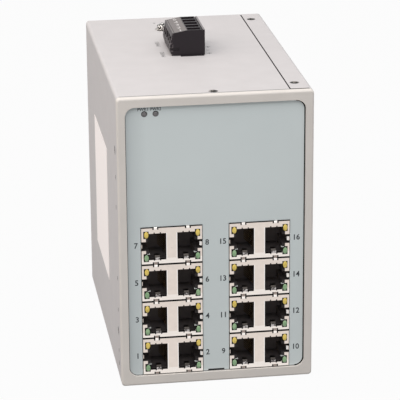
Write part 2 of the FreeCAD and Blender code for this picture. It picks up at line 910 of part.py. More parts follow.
def heatsinks():
    """Finned heatsink on each chip: one comb profile carried across it."""
    comb_width = (sink_fins - 1) * sink_fin_pitch + sink_fin_width
    sinks = []
    for n in range(2):
        x0 = board_rights[n] + chip_height
        x1, x2 = x0 + sink_base, x0 + sink_base + sink_fin_height
        y = front + chip_from_front - comb_width / 2
        profile = [(x0, y)]
        for fin in range(sink_fins):
            a = y + fin * sink_fin_pitch
            profile += [(x2, a), (x2, a + sink_fin_width)]
            if fin < sink_fins - 1:
                profile += [(x1, a + sink_fin_width), (x1, a + sink_fin_pitch)]
        profile.append((x0, y + comb_width))
        z = chip_from_bottom - comb_width / 2
        sinks.append(extrude(profile, "z", z, z + comb_width))
    return Part.makeCompound(sinks)


def port_transformers():
    """One transformer module behind each port block."""
    y = jack_front - front + jack_depth + transformer_gap + transformer_depth / 2
    return Part.makeCompound(
        [
            on_board(n, y, transformer_depth, z, transformer_width, transformer_height)
            for n in range(column_count)
            for z in row_middles
        ]
    )


def link_card():
    """Card between the two boards' sockets."""
    half = board_thickness / 2
    y = front + link_depth_from_front
    x0 = board_rights[0] + link_socket_height / 2
    x1 = board_rights[1] - board_thickness - link_socket_height / 2
    return block(x0, x1, y - half, y + half, link_from_bottom, link_from_bottom + link_height)


def link_sockets():
    """Edge socket on each board, slotted for the link card."""
    half = link_socket_width / 2
    y = front + link_depth_from_front
    z0, z1 = link_from_bottom - link_socket_end, link_from_bottom + link_height + link_socket_end
    x0, x1 = board_rights[0], board_rights[1] - board_thickness
    pair = [
        block(x0, x0 + link_socket_height, y - half, y + half, z0, z1),
        block(x1 - link_socket_height, x1, y - half, y + half, z0, z1),
    ]
    return Part.makeCompound([socket.cut(link_card()) for socket in pair])


def power_capacitors():
    """Boxed film capacitors on the main board."""
    return in_row(capacitor_count, capacitor_from_front, capacitor_pitch, capacitor_size, capacitor_height)


def power_inductors():
    """Moulded inductors behind the capacitors."""
    start = capacitor_from_front + capacitor_count * capacitor_pitch
    return in_row(inductor_count, start, inductor_pitch, inductor_size, inductor_height)


def fault_relay():
    return on_board(1, relay_from_front, relay_depth, power_height, relay_width, relay_height)


def dc_converter():
    y = converter_from_front + converter_depth / 2
    z = power_height - converter_drop
    return on_board(1, y, converter_depth, z, converter_width, converter_height)


# ---- Rail clip ----
def din_plate():
    """Extruded clip: a plate with a lower hook and a deeper upper hook for the bow spring."""
    low = rail_height - rail_width / 2 - clip_rail_clearance
    rail_top = rail_height + rail_width / 2
    high = rail_top + spring_room
    y0, y1 = back, back + clip_thickness
    y2, y3 = y1 + clip_slot, y1 + clip_slot + clip_hook
    upper_lip, lower_lip = rail_top - clip_upper_lap, low + clip_lower_lap
    profile = [
        (y0, low - clip_end), (y0, high + clip_end), (y3, high + clip_end), (y3, upper_lip),
        (y2 + clip_lead, upper_lip), (y2, upper_lip + clip_lead), (y2, high), (y1, high), (y1, low),
        (y2, low), (y2, lower_lip - clip_lead), (y2 + clip_lead, lower_lip), (y3, lower_lip),
        (y3, low - clip_end),
    ]
    return extrude(profile, "x", -clip_width / 2, clip_width / 2)


def din_spring():
    """Bowed strip in the upper hook: its ends bear on the slot's end, its middle on the rail."""
    half = spring_span / 2
    top = rail_height + rail_width / 2 + spring_room
    bow = spring_room - spring_thickness - clip_rail_clearance
    y0 = back + clip_thickness + spring_side_clearance
    y1 = back + clip_thickness + clip_slot - spring_side_clearance

    under = top - spring_thickness

    def arc(z_end):
        points = [Vector(-half, y0, z_end), Vector(0, y0, z_end - bow), Vector(half, y0, z_end)]
        return Part.Arc(*points).toShape()

    ends = [Part.makeLine(Vector(x, y0, top), Vector(x, y0, under)) for x in (-half, half)]
    wire = Part.Wire(Part.__sortEdges__([arc(top), arc(under)] + ends))
    return Part.Face(wire).extrude(Vector(0, y1 - y0, 0))


# ---- Nodes ----
def build():
    """Every node's name with its shape."""
    nodes = {
        "chassis_shell": chassis_shell(),
        "side_cover": side_cover(),
        "front_bezel": front_bezel(),
        "front_panel": front_panel(),
        "front_overlay": front_overlay(),
        "side_label": side_label(),
        "cover_screws": screws(cover_screw_places()),
        "bezel_screws": screws(bezel_screw_places()),
        "power_lamps": power_lamps(),
        "lamp_holder": lamp_holder(),
        "terminal_header": terminal_header(),
        "header_pins": header_pins(),
        "terminal_plug": terminal_plug(),
        "terminal_clamps": terminal_clamps(),
        "terminal_marker": terminal_marker(),
        "ground_screw": ground_screw(),
        "ground_washer": ground_washer(),
        "ground_nut": ground_nut(),
        "main_board": board(0),
        "port_board": board(1),
        "wall_standoffs": wall_standoffs(),
        "board_spacers": board_spacers(),
        "board_nuts": board_nuts(),
        "switch_chips": switch_chips(),
        "heatsinks": heatsinks(),
        "port_transformers": port_transformers(),
        "link_card": link_card(),
        "link_sockets": link_sockets(),
        "power_capacitors": power_capacitors(),
        "power_inductors": power_inductors(),
        "fault_relay": fault_relay(),
        "dc_converter": dc_converter(),
        "din_plate": din_plate(),
        "din_spring": din_spring(),
        "din_screws": din_screws(),
    }
    for n, shape in enumerate(for_blocks(jack_shield), 1):
        nodes[f"jack_shield_{n}"] = shape
    for n, shape in enumerate(for_blocks(jack_housing), 1):
        nodes[f"jack_housing_{n}"] = shape
    contacts = for_blocks(port_contacts)
    nodes["left_contacts"] = Part.makeCompound(contacts[:row_count])
    nodes["right_contacts"] = Part.makeCompound(contacts[row_count:])
    nodes["amber_lenses"] = Part.makeCompound(for_blocks(lambda: port_lenses(1)))
    nodes["green_lenses"] = Part.makeCompound(for_blocks(lambda: port_lenses(-1)))
    return nodes


os.makedirs("parts", exist_ok=True)
for name, shape in build().items():
    shape.exportStep(f"parts/{name}.step")
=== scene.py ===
import json
import math

import bpy
import numpy as np
from mathutils import Matrix, Vector


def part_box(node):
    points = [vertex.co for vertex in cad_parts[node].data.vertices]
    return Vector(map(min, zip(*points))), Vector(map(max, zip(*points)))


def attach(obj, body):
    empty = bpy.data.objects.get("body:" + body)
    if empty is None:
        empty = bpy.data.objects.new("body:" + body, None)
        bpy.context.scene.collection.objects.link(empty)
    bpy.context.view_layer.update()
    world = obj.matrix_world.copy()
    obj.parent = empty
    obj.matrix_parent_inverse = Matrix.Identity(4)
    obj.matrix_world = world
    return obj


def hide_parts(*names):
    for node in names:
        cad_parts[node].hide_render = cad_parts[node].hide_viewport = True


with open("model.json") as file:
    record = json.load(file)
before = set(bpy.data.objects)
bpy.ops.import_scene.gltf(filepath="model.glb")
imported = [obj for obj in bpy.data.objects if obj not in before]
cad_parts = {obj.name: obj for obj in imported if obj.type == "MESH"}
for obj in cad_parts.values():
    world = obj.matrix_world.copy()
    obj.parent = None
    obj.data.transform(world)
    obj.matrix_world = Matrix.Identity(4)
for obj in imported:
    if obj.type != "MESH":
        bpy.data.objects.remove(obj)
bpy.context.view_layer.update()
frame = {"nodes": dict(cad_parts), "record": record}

MM = 0.001
UP = np.array([0.0, 0.0, 1.0])
RIGHTWARD = np.array([1.0, 0.0, 0.0])
BACKWARD = np.array([0.0, 1.0, 0.0])

# ---- Sizes, in metres ----
# Screws
CLOSING = 0.02  # turned shapes close at this share of their radius
SCREW_HEAD = 2.15 * MM  # radius of the countersunk heads
SCREW_BEVEL = 0.12 * MM
SCREW_CORE = 1.25 * MM
SCREW_SINK = 0.06 * MM  # the heads sit this far below the sheet
SHEET = 1.2 * MM
SIDE_SCREW_FROM_TOP = 26.3 * MM
GROUND_CORE = 2.0 * MM
GROUND_SHOULDER = 0.7 * MM
CLAMP_SCREW_HEIGHT = 7.2 * MM  # above the case's top
CLAMP_SCREW_RADIUS = 1.5 * MM
CLAMP_SCREW_DEPTH = 1.7 * MM  # behind the plug's left side
POLE_PITCH = 5.08 * MM
POLE_COUNT = 5
SHARP_ANGLE = math.radians(32)  # edges turned by more than this look sharp
# Port blocks
BLOCK_COUNT = 8
ROW_COUNT = 4
BLOCK_GAP = 0.5 * MM
TOP_GAP = 0.3 * MM  # between the top blocks and the overlay's cut-out
GAP_LAP = 0.16 * MM  # the painted shade in a gap covers this much of each block's rounded edge
SHIELD_WALL = 0.25 * MM
PORT_HALF = 5.85 * MM  # half height of a socket's opening
PORT_FAR = 11.0 * MM  # from a block's side to its opening's inner edge
SILL_START = 3.25 * MM  # from a block's side to the near end of its opening's lower edge
SILL_DROP = 0.7 * MM  # the lower edge looks this much lower than the solids have it
FINGER_FROM_SIDE = 6.3 * MM  # from a block's side to the middle of a spring finger
FINGER_HALF = 0.75 * MM
FINGER_SLOT = 0.6 * MM
FINGER_DROP = 0.95 * MM  # the slots reach this far on to the face
FINGER_DEPTH = 6.0 * MM  # from the face to a finger's root
FINGER_RISE = 0.23 * MM  # the fingers stand this far out of a block
SIDE_FINGER = 0.9 * MM  # half height of the spring finger in a block's side
LEAF_FROM_SIDE = 7.1 * MM  # from a block's side to the middle of a spring leaf
LEAF_SLOT = 0.55 * MM
LEAF_WIDTH = 2.2 * MM
LEAF_RISE = 0.35 * MM  # the leaves' roots stand this far above the solids' lower edge
STRIP_PROUD = 0.012 * MM  # painted-shade strips stand this far out of the face
STRIP_DEPTH = 0.2 * MM
STRIP_EDGE = 0.01 * MM  # bevel of the painted-shade strips
GAP_SHADE_EDGE = 0.008 * MM  # bevel of the painted shade in the gaps and seams
# Lenses and lamps
LENS_FROM_SIDE = 2.05 * MM  # from a block's side to the middle of its lens windows
LENS_SHIFT = 0.15 * MM  # the lenses lean to the right in their windows
LENS_SAG = 0.4 * MM  # the green lenses sit this much lower
LENS_LOW = 3.6 * MM  # from a block's middle
LENS_HIGH = 6.9 * MM
LENS_MARGIN = 0.1 * MM  # between a lens and its window, above and below
LENS_HALF_WIDTH = 0.98 * MM
LENS_PROUD = 0.3 * MM  # the lenses' domes stand this far out of the face
LENS_LENGTH = 7.0 * MM
LAMP_SHARE = 0.92  # the lamps' domes against their holes
LAMP_SAG = 0.2 * MM
LAMP_BULGE = 0.55 * MM
# Bezel window, seams and dimples
WINDOW_SIDE = 3.6 * MM  # the bezel's borders
WINDOW_BOTTOM = 4.5 * MM
WINDOW_TOP = 4.3 * MM
WINDOW_ROUND = 4.3 * MM
WINDOW_SHADE = 0.6 * MM  # width of the painted shade in the gap beside the overlay
COVER_STRIP = 9.9 * MM  # width of the side cover's strip along the top
SEAM = 0.35 * MM
BEZEL_DEPTH = 2.8 * MM
DIMPLE_HEIGHT = 0.5 * MM  # half
DIMPLE_LENGTH = 1.1 * MM  # half
# Print
PORT_DIGIT = 2.65 * MM
LAMP_MARK = 1.4 * MM
POLE_DIGIT = 3.0 * MM
INK_THICKNESS = 0.03 * MM

# ---- Light ----
CLOTH = 0.28  # how much light the floor throws back
WHITE_SHARE = 0.96  # how much of the floor's look is plain white
MIDDLE = Vector((0, 0, 0.07))  # the lamps aim here

# ---- Camera ----
AIM = Vector((-1.04, -25.5, 71.8)) * MM
AZIMUTH = math.radians(8.14)  # the camera stands to the left of the front
ELEVATION = math.radians(18.95)
ROLL = math.radians(-0.44)
DISTANCE = 1.0
LENS = 194.8
SENSOR = 36.0


# ---- Shader maths ----
class Value:
    """One socket of a material, used in plain arithmetic."""

    def __init__(self, finish, socket):
        self.finish = finish
        self.socket = socket

    def maths(self, operation, *values):
        """One maths node that works on these values, which are numbers or sockets."""
        return self.finish.node("ShaderNodeMath", {"operation": operation}, dict(enumerate(values)))

    def __add__(self, other):
        return self.maths("ADD", self, other)

    __radd__ = __add__

    def __sub__(self, other):
        return self.maths("SUBTRACT", self, other)

    def __rsub__(self, other):
        return self.maths("SUBTRACT", other, self)

    def __mul__(self, other):
        return self.maths("MULTIPLY", self, other)

    __rmul__ = __mul__

    def between(self, low, high):
        """0 below low, 1 above high and a straight ramp from one to the other."""
        settings = {"clamp": True}
        limits = {"From Min": low, "From Max": high}
        return self.finish.node("ShaderNodeMapRange", settings, {"Value": self, **limits})

    def band(self, low, high, blur):
        """1 from low to high, and 0 further out than the blur on either side."""
        return self.between(low - blur, low) - self.between(high, high + blur)


class Finish:
    """A material or a world: makes nodes and joins them."""

    def __init__(self, owner):
        owner.use_nodes = True
        self.tree = owner.node_tree
        self.tree.nodes.clear()

    def node(self, kind, settings=None, inputs=None, output=0):
        """A node of one kind. Settings go first, then each socket's number or link."""
        made = self.tree.nodes.new(kind)
        for name, value in (settings or {}).items():
            setattr(made, name, value)
        for name, value in (inputs or {}).items():
            if isinstance(value, Value):
                self.tree.links.new(value.socket, made.inputs[name])
            else:
                made.inputs[name].default_value = value
        return Value(self, made.outputs[output] if len(made.outputs) else None)

    def place(self):
        """Where the surface is in the object's own frame."""
        return self.node("ShaderNodeTexCoord", output=3)

    def coordinate(self, output):
        """One coordinate of the place: 0 across, 1 inward, 2 upward."""
        return self.node("ShaderNodeSeparateXYZ", None, {"Vector": self.place()}, output)

    def across(self):
        return self.coordinate(0)

    def inward(self):
        return self.coordinate(1)

    def upward(self):
        return self.coordinate(2)

    def noise(self, size, detail=2.0, roughness=0.5, stretch=(1.0, 1.0, 1.0)):
        """Cloudy noise from 0 to 1 whose features are about `size` metres across."""
        spread = tuple(s / size for s in stretch)
        where = self.node("ShaderNodeMapping", {"vector_type": "POINT"}, {0: self.place(), 3: spread})
        sockets = {"Vector": where, "Scale": 1.0, "Detail": detail, "Roughness": roughness}
        return self.node("ShaderNodeTexNoise", None, sockets)

    def mix(self, factor, first, second):
        """Colour going from first to second as the factor goes from 0 to 1."""
        return self.node("ShaderNodeMix", {"data_type": "RGBA"}, {0: factor, 6: first, 7: second}, 2)

    def bump(self, height, depth, strength=1.0):
        """Normal of a surface raised by a height from 0 to 1, times a depth in metres."""
        return self.node("ShaderNodeBump", None, {"Height": height, "Distance": depth, "Strength": strength})

    def surface(self, **sockets):
        """The shader itself; its sockets are named with _ for a space."""
        named = {name.replace("_", " "): value for name, value in sockets.items()}
        shader = self.node("ShaderNodeBsdfPrincipled", None, named)
        self.node("ShaderNodeOutputMaterial", None, {"Surface": shader})


def material(name):
    """A new, empty material."""
    return bpy.data.materials.new(name)


def rgb(red, green, blue, share=1.0):
    """A colour, made lighter or darker by a share."""
    return (red * share, green * share, blue * share, 1.0)


# ---- Finishes ----
def powder_coat(name, colour, roughness):
    """Sprayed and baked paint: fine orange peel, a faint cloudiness and small changes of gloss."""
    made = material(name)
    f = Finish(made)
    cloud = f.noise(9 * MM, 3.0)
    peel = f.noise(0.55 * MM, 2.0, 0.6)
    grain = f.noise(0.16 * MM, 1.0)
    tone = f.mix(cloud.between(0.3, 0.7), rgb(*colour, 0.975), rgb(*colour, 1.02))
    f.surface(
        Base_Color=tone,
        Roughness=roughness + 0.10 * (grain - 0.5) + 0.06 * (cloud - 0.5),
        Normal=f.bump(peel + 0.35 * grain, 0.012 * MM, 0.6),
        Specular_IOR_Level=0.25,
    )
    return made


def printed_film(name, colour):
    """Polyester film with a finely stippled face, and painted shade that darkens it towards its left edge,
    where the bezel's wall shades it.
    """
    made = material(name)
    f = Finish(made)
    stipple = f.noise(0.12 * MM, 1.0, 0.7)
    cloud = f.noise(25 * MM, 2.0)
    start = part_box("front_overlay")[0].x
    fade, shadow_strength = 9 * MM, 0.16
    plain = f.mix(cloud.between(0.3, 0.7), rgb(*colour, 0.985), rgb(*colour, 1.012))
    # painted shade: darker and bluer towards the left edge, in the shadow of the bezel's wall
    edge = shadow_strength * (1.0 - f.across().between(start, start + fade))
    f.surface(
        Base_Color=f.mix(edge, plain, rgb(0.0, 0.0, 0.03)),
        Roughness=0.42 + 0.12 * (stipple - 0.5),
        Normal=f.bump(stipple, 0.006 * MM, 0.5),
        Specular_IOR_Level=0.35,
    )
    return made


def label_paper(name, colour):
    """Blank label stock: a matte coated face with a trace of fibre."""
    made = material(name)
    f = Finish(made)
    fibre = f.noise(0.3 * MM, 4.0, 0.7)
    wave = f.noise(14 * MM, 1.0)
    f.surface(
        Base_Color=f.mix(fibre.between(0.35, 0.65), rgb(*colour, 0.985), rgb(*colour)),
        Roughness=0.5 + 0.1 * (fibre - 0.5),
        Normal=f.bump(wave + 0.05 * fibre, 0.05 * MM, 0.4),
    )
    return made


def plated_sheet(name, colour, roughness, grain_along):
    """Plated sheet metal: rolling lines along one way, and a mottled brightness."""
    made = material(name)
    f = Finish(made)
    stretch = tuple(0.04 if axis == grain_along else 1.0 for axis in "xyz")
    lines = f.noise(0.07 * MM, 2.0, 0.6, stretch)
    mottle = f.noise(2.2 * MM, 3.0, 0.6)
    f.surface(
        Base_Color=f.mix(mottle.between(0.25, 0.75), rgb(*colour, 0.90), rgb(*colour)),
        Metallic=1.0,
        Roughness=roughness + 0.10 * (mottle - 0.5) + 0.06 * (lines - 0.5),
        Normal=f.bump(lines, 0.003 * MM, 0.5),
    )
    return made


def shield_sheet(name, colour):
    """Plated shield sheet, with painted highlights on the side rims and lower sills of the openings, and
    painted shade on the leaves inside the openings and where the blocks shade each other."""
    made = material(name)
    f = Finish(made)
    low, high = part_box("jack_shield_1")
    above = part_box("jack_shield_2")[0].z - low.z
    rim_width, leaf_margin, blur, fade = 0.4 * MM, 0.1 * MM, 0.05 * MM, 0.1 * MM
    lines = f.noise(0.07 * MM, 2.0, 0.6, (0.04, 1.0, 1.0))
    mottle = f.noise(2.2 * MM, 3.0, 0.6)
    x = f.across()
    height = (f.upward() - low.z).maths("FLOORED_MODULO", f.upward() - low.z, above)
    half = (high.z - low.z) / 2
    from_middle = (height - half).maths("ABSOLUTE", height - half)
    behind = f.inward().between(low.y + 0.12 * MM, low.y + 0.5 * MM)
    outer = from_middle.between(half - 0.45 * MM, half - 0.35 * MM)
    rim_highlights, leaves = 0.0, 0.0
    for n in (1, BLOCK_COUNT):
        start, end = (corner.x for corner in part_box(f"jack_shield_{n}"))
        for edge, way in ((start + PORT_FAR, 1), (end - PORT_FAR, -1)):
            near, far = sorted((edge, edge + way * rim_width))
            rim_highlights = rim_highlights + x.band(near, far, blur)
        for centre in (start + LEAF_FROM_SIDE, end - LEAF_FROM_SIDE):
            reach = LEAF_WIDTH / 2 + leaf_margin
            leaves = leaves + x.band(centre - reach, centre + reach, blur)
    # painted highlights along the openings' side rims and lower sills
    rim_highlights = rim_highlights * (1.0 - from_middle.between(PORT_HALF, PORT_HALF + fade))
    sill = 1.0 - height.between(half - PORT_HALF - fade, half - PORT_HALF)
    opening = 1.0 - from_middle.between(PORT_HALF - fade, PORT_HALF)
    shade = behind * (outer + leaves * (1.0 - outer))
    plain = f.mix(mottle.between(0.25, 0.75), rgb(*colour, 0.93), rgb(*colour, 1.02))
    bright = f.mix((rim_highlights + 0.45 * sill).between(0.0, 1.0), plain, rgb(1.0, 0.96, 0.92))
    # painted shade: dark where the blocks shade each other, and near black on the leaves inside the openings
    shaded = f.mix(shade, bright, rgb(*colour, 0.1))
    f.surface(
        Base_Color=f.mix(leaves * opening, shaded, rgb(*colour, 0.05)),
        Metallic=1.0,
        Roughness=0.30 + 0.10 * (mottle - 0.5) + 0.06 * (lines - 0.5),
        Normal=f.bump(lines, 0.003 * MM, 0.5),
    )
    return made


def nickel_parts(name, colour, dark_reflections):
    """Small bright turned parts, with dark patches painted in as reflections of a dark room, which break up
    their shine.
    """
    made = material(name)
    f = Finish(made)
    patches = f.noise(0.9 * MM, 3.0, 0.6)
    f.surface(
        # painted reflections: dark patches on the bright metal
        Base_Color=f.mix(patches.between(0.49, 0.56), rgb(*dark_reflections), rgb(*colour)),
        Metallic=1.0,
        Roughness=0.2 + 0.2 * (patches - 0.5),
        Normal=f.bump(patches, 0.05 * MM, 0.5),
    )
    return made


def marker_strip(name, colour):
    """Grey marking strip with a groove just inside its outer edge, darkened with painted shade."""
    made = material(name)
    f = Finish(made)
    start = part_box("terminal_marker")[0].x
    groove = f.across().band(start + 0.6 * MM, start + 0.8 * MM, 0.15 * MM)
    texture = f.noise(0.2 * MM, 2.0, 0.6)
    plain = f.mix(texture.between(0.3, 0.7), rgb(*colour, 0.93), rgb(*colour, 1.05))
    f.surface(
        # painted shade in the groove
        Base_Color=f.mix(groove, plain, rgb(*colour, 0.25)),
        Roughness=0.5 + 0.16 * (texture - 0.5),
        Normal=f.bump(texture - 4.0 * groove, 0.02 * MM, 0.6),
        Specular_IOR_Level=0.35,
    )
    return made


def terminal_moulding(name, colour):
    """Black moulding of the terminal, with grey specks on its left side as painted highlights of its
    texture, and a painted highlight on the ridge along its right edge."""
    made = material(name)
    f = Finish(made)
    low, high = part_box("terminal_plug")
    ridge_width, ridge_height, blur = 0.9 * MM, 0.05 * MM, 0.05 * MM
    # painted highlight on the top of the ridge along the right edge
    beside = f.across().between(high.x - ridge_width - blur, high.x - ridge_width)
    lit_ridge = beside * f.upward().between(high.z - ridge_height - blur, high.z - ridge_height)
    texture = f.noise(0.14 * MM, 2.0, 0.6)
    black = f.mix(texture.between(0.3, 0.7), rgb(*colour, 0.9), rgb(*colour, 1.08))
    # painted highlights: grey specks on the left side
    specks = f.noise(0.8 * MM, 2.0, 0.5).between(0.5, 0.58)
    speck_highlights = specks * (1.0 - f.across().between(low.x + 1.0 * MM, low.x + 1.8 * MM))
    plain = f.mix(speck_highlights, black, rgb(0.11, 0.095, 0.098))
    f.surface(
        Base_Color=f.mix(lit_ridge, plain, rgb(0.17, 0.155, 0.16)),
        Roughness=0.42 + 0.16 * (texture - 0.5),
        Normal=f.bump(texture, 0.01 * MM, 0.6),
        Specular_IOR_Level=0.25,
    )
    return made


def moulded_plastic(name, colour, roughness, specular=0.5):
    """Injection moulding with a spark-eroded texture and a little shrinkage waviness."""
    made = material(name)
    f = Finish(made)
    texture = f.noise(0.14 * MM, 2.0, 0.6)
    wave = f.noise(4 * MM, 2.0)
    f.surface(
        Base_Color=f.mix(texture.between(0.3, 0.7), rgb(*colour, 0.92), rgb(*colour, 1.05)),
        Roughness=roughness + 0.16 * (texture - 0.5),
        Normal=f.bump(texture + 0.6 * wave, 0.010 * MM, 0.6),
        Specular_IOR_Level=specular,
    )
    return made


def socket_moulding(name, colour):
    """Black moulding of the sockets, with painted shade: blackest at the mouth, where the light falls, and
    greyer further in, so that the insides look evenly dark.
    """
    made = material(name)
    f = Finish(made)
    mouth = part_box("jack_shield_1")[0].y
    # painted shade, darkest at the mouth of each socket
    depth = f.inward().between(mouth + 2.5 * MM, mouth + 10.5 * MM)
    texture = f.noise(0.14 * MM, 2.0, 0.6)
    grain = f.mix(texture.between(0.3, 0.7), rgb(*colour, 0.92), rgb(*colour, 1.05))
    f.surface(
        Base_Color=f.mix(depth, rgb(*colour, 0.2), grain),
        Roughness=0.58 + 0.16 * (texture - 0.5),
        Normal=f.bump(texture, 0.010 * MM, 0.6),
        Specular_IOR_Level=0.12,
    )
    return made


def light_pipe(name, colour, deep):
    """Tinted clear plastic, deeper in colour where the light goes further in."""
    made = material(name)
    f = Finish(made)
    depth = f.noise(0.9 * MM, 2.0)
    f.surface(
        Base_Color=f.mix(depth.between(0.3, 0.7), rgb(*deep), rgb(*colour)),
        Roughness=0.24 + 0.08 * (depth - 0.5),
        Normal=f.bump(depth, 0.02 * MM, 0.3),
        Coat_Weight=0.5,
        Coat_Roughness=0.08,
    )
    return made


def oxide_steel(name, colour):
    """Blackened screw steel: dark and oily, with brighter patches painted in as glints."""
    made = material(name)
    f = Finish(made)
    glint_patches = f.noise(1.3 * MM, 3.0, 0.6)
    f.surface(
        # painted glints in brighter patches
        Base_Color=f.mix(glint_patches.between(0.53, 0.60), rgb(*colour), rgb(*colour, 35.0)),
        Metallic=0.3,
        Roughness=0.36 + 0.2 * (glint_patches - 0.5),
        Specular_IOR_Level=0.1,
        Normal=f.bump(glint_patches, 0.01 * MM, 0.5),
    )
    return made


def laminate(name, colour):
    """Solder mask over glass cloth: the weave shows as a fine square ripple."""
    made = material(name)
    f = Finish(made)
    across = f.noise(0.4 * MM, 1.0, 0.5, (1.0, 0.2, 1.0))
    along = f.noise(0.4 * MM, 1.0, 0.5, (1.0, 1.0, 0.2))
    f.surface(
        Base_Color=f.mix(across * along, rgb(*colour, 0.8), rgb(*colour, 1.3)),
        Roughness=0.34 + 0.1 * (across - 0.5),
        Normal=f.bump(across + along, 0.01 * MM, 0.5),
    )
    return made


def ink(name, colour):
    """Screen-printed ink, a little uneven in cover."""
    made = material(name)
    f = Finish(made)
    cover = f.noise(0.25 * MM, 2.0)
    f.surface(
        Base_Color=f.mix(cover, rgb(*colour, 0.8), rgb(*colour, 1.25)),
        Roughness=0.5 + 0.1 * (cover - 0.5),
    )
    return made


FINISHES = {
    # case_paint and bezel_paint are one paint, given darker on the case, whose top takes the overhead light,
    # and lighter on the bezel, which faces the front: painted light and shade
    "case_paint": lambda n: powder_coat(n, (0.525, 0.502, 0.504), 0.62),
    "bezel_paint": lambda n: powder_coat(n, (0.652, 0.614, 0.580), 0.62),
    # The panel is dark, and its paint is near black as painted shade in the gaps beside the overlay.
    "panel_paint": lambda n: powder_coat(n, (0.022, 0.022, 0.024), 0.6),
    "overlay_film": lambda n: printed_film(n, (0.592, 0.645, 0.652)),
    "label_film": lambda n: label_paper(n, (0.97, 0.90, 0.88)),
    "shield_nickel": lambda n: shield_sheet(n, (0.79, 0.70, 0.635)),
    "ground_nickel": lambda n: nickel_parts(n, (0.88, 0.85, 0.81), (0.03, 0.027, 0.025)),
    "zinc_steel": lambda n: plated_sheet(n, (0.62, 0.62, 0.60), 0.34, "y"),
    "spring_steel": lambda n: plated_sheet(n, (0.46, 0.45, 0.43), 0.30, "x"),
    "clip_aluminium": lambda n: plated_sheet(n, (0.72, 0.72, 0.72), 0.38, "x"),
    "sink_aluminium": lambda n: plated_sheet(n, (0.45, 0.45, 0.46), 0.42, "z"),
    "contact_gold": lambda n: plated_sheet(n, (0.83, 0.62, 0.30), 0.25, "y"),
    "pin_tin": lambda n: plated_sheet(n, (0.68, 0.67, 0.64), 0.30, "z"),
    "screw_black": lambda n: oxide_steel(n, (0.012, 0.011, 0.010)),
    "jack_plastic": lambda n: socket_moulding(n, (0.155, 0.136, 0.138)),
    "terminal_plastic": lambda n: terminal_moulding(n, (0.016, 0.012, 0.015)),
    "marker_grey": lambda n: marker_strip(n, (0.155, 0.138, 0.135)),
    "chip_epoxy": lambda n: moulded_plastic(n, (0.020, 0.020, 0.021), 0.6, 0.3),
    "capacitor_case": lambda n: moulded_plastic(n, (0.36, 0.10, 0.04), 0.35),
    "relay_case": lambda n: moulded_plastic(n, (0.05, 0.08, 0.20), 0.4),
    "amber_lens": lambda n: light_pipe(n, (0.86, 0.65, 0.13), (0.62, 0.45, 0.07)),
    "green_lens": lambda n: light_pipe(n, (0.30, 0.46, 0.25), (0.17, 0.33, 0.16)),
    "lamp_lens": lambda n: light_pipe(n, (0.135, 0.127, 0.13), (0.07, 0.066, 0.07)),
    "board_laminate": lambda n: laminate(n, (0.02, 0.14, 0.06)),
}
finishes = {name: make(name) for name, make in FINISHES.items()}
# two copies of one plated sheet for the spring fingers: painted as lit on the blocks' tops, painted as
# shaded underneath
lit_leaf = plated_sheet("lit_leaf", (1.0, 0.95, 0.91), 0.3, "y")
shaded_leaf = plated_sheet("shaded_leaf", (0.30, 0.24, 0.21), 0.45, "y")
# near-white plastic as a painted highlight on the side fingers' tips
highlit_tin = moulded_plastic("highlit_tin", (0.97, 0.95, 0.93), 0.4, 0.5)
# near black for painted shade in gaps, slots, seams, window corners and dimples
shade_black = moulded_plastic("shade_black", (0.006, 0.005, 0.005), 0.8, 0.1)
# plated leaf roots with painted glints and dark reflections in patches
glinting_leaf = nickel_parts("glinting_leaf", (0.52, 0.49, 0.48), (0.10, 0.09, 0.088))
clear_pipe = light_pipe("clear_pipe", (0.62, 0.64, 0.62), (0.40, 0.43, 0.41))
dark_ink = ink("dark_ink", (0.016, 0.020, 0.026))
# faint grey ink for the marks printed on the case, also used as grey painted shade in the seam behind the
# bezel
faint_ink_and_shade = ink("faint_ink_and_shade", (0.15, 0.145, 0.145))
white_ink = ink("white_ink", (0.54, 0.52, 0.51))


def dress_cad_nodes():
    """Gives every node of the frame the finish of its slot."""
    for part in frame["record"]["subparts"]:
        slots = frame["nodes"][part["node"]].data.materials
        slots.clear()
        slots.append(finishes[part["material_slot"]])


# ---- Meshes ----
def grid_faces(rows, columns):
    """Quads of a closed tube of points: rows along it, columns round it, the last joined to the first."""
    row, column = np.meshgrid(np.arange(rows - 1), np.arange(columns), indexing="ij")
    after = (column + 1) % columns
    here, ahead = row * columns, (row + 1) * columns
    return np.stack([here + column, here + after, ahead + after, ahead + column], -1).reshape(-1, 4)


def facing(axis):
    """Rotation, as columns, that turns +Z to an axis."""
    turned = Vector(axis).to_track_quat("Z", "Y").to_matrix()
    return np.array(turned)


def settle(name, vertices, faces, finish, slot, smooth=True):
    """A mesh piece that rides on the case, with its place in its points."""
    mesh = bpy.data.meshes.new(name)
    mesh.from_pydata(vertices.tolist(), [], [tuple(face) for face in faces])
    mesh.validate()
    mesh.polygons.foreach_set("use_smooth", np.full(len(mesh.polygons), smooth))
    mesh.materials.append(finish)
    piece = bpy.data.objects.new(name, mesh)
    bpy.context.collection.objects.link(piece)
    if smooth:
        mesh.set_sharp_from_angle(angle=SHARP_ANGLE)
    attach(piece, "root")
    return piece


def gather(shapes):
    """Joins (vertices, faces) pairs into one pair."""
    vertices, faces, start = [], [], 0
    for points, polygons in shapes:
        vertices.append(points)
        faces += [[start + corner for corner in face] for face in polygons]
        start += len(points)
    return np.concatenate(vertices), faces


def capped(rings):
    """(vertices, faces) of rings of points, closed by one face at each end."""
    rows, columns = rings.shape[:2]
    first = list(range(columns))[::-1]
    last = [(rows - 1) * columns + n for n in range(columns)]
    return rings.reshape(-1, 3), grid_faces(rows, columns).tolist() + [first, last]


def ramp(value, low, high):
    """Smooth step: 0 below low, 1 above high, 3t2 - 2t3 between."""
    t = np.clip((value - low) / (high - low), 0, 1)
    return t * t * (3 - 2 * t)


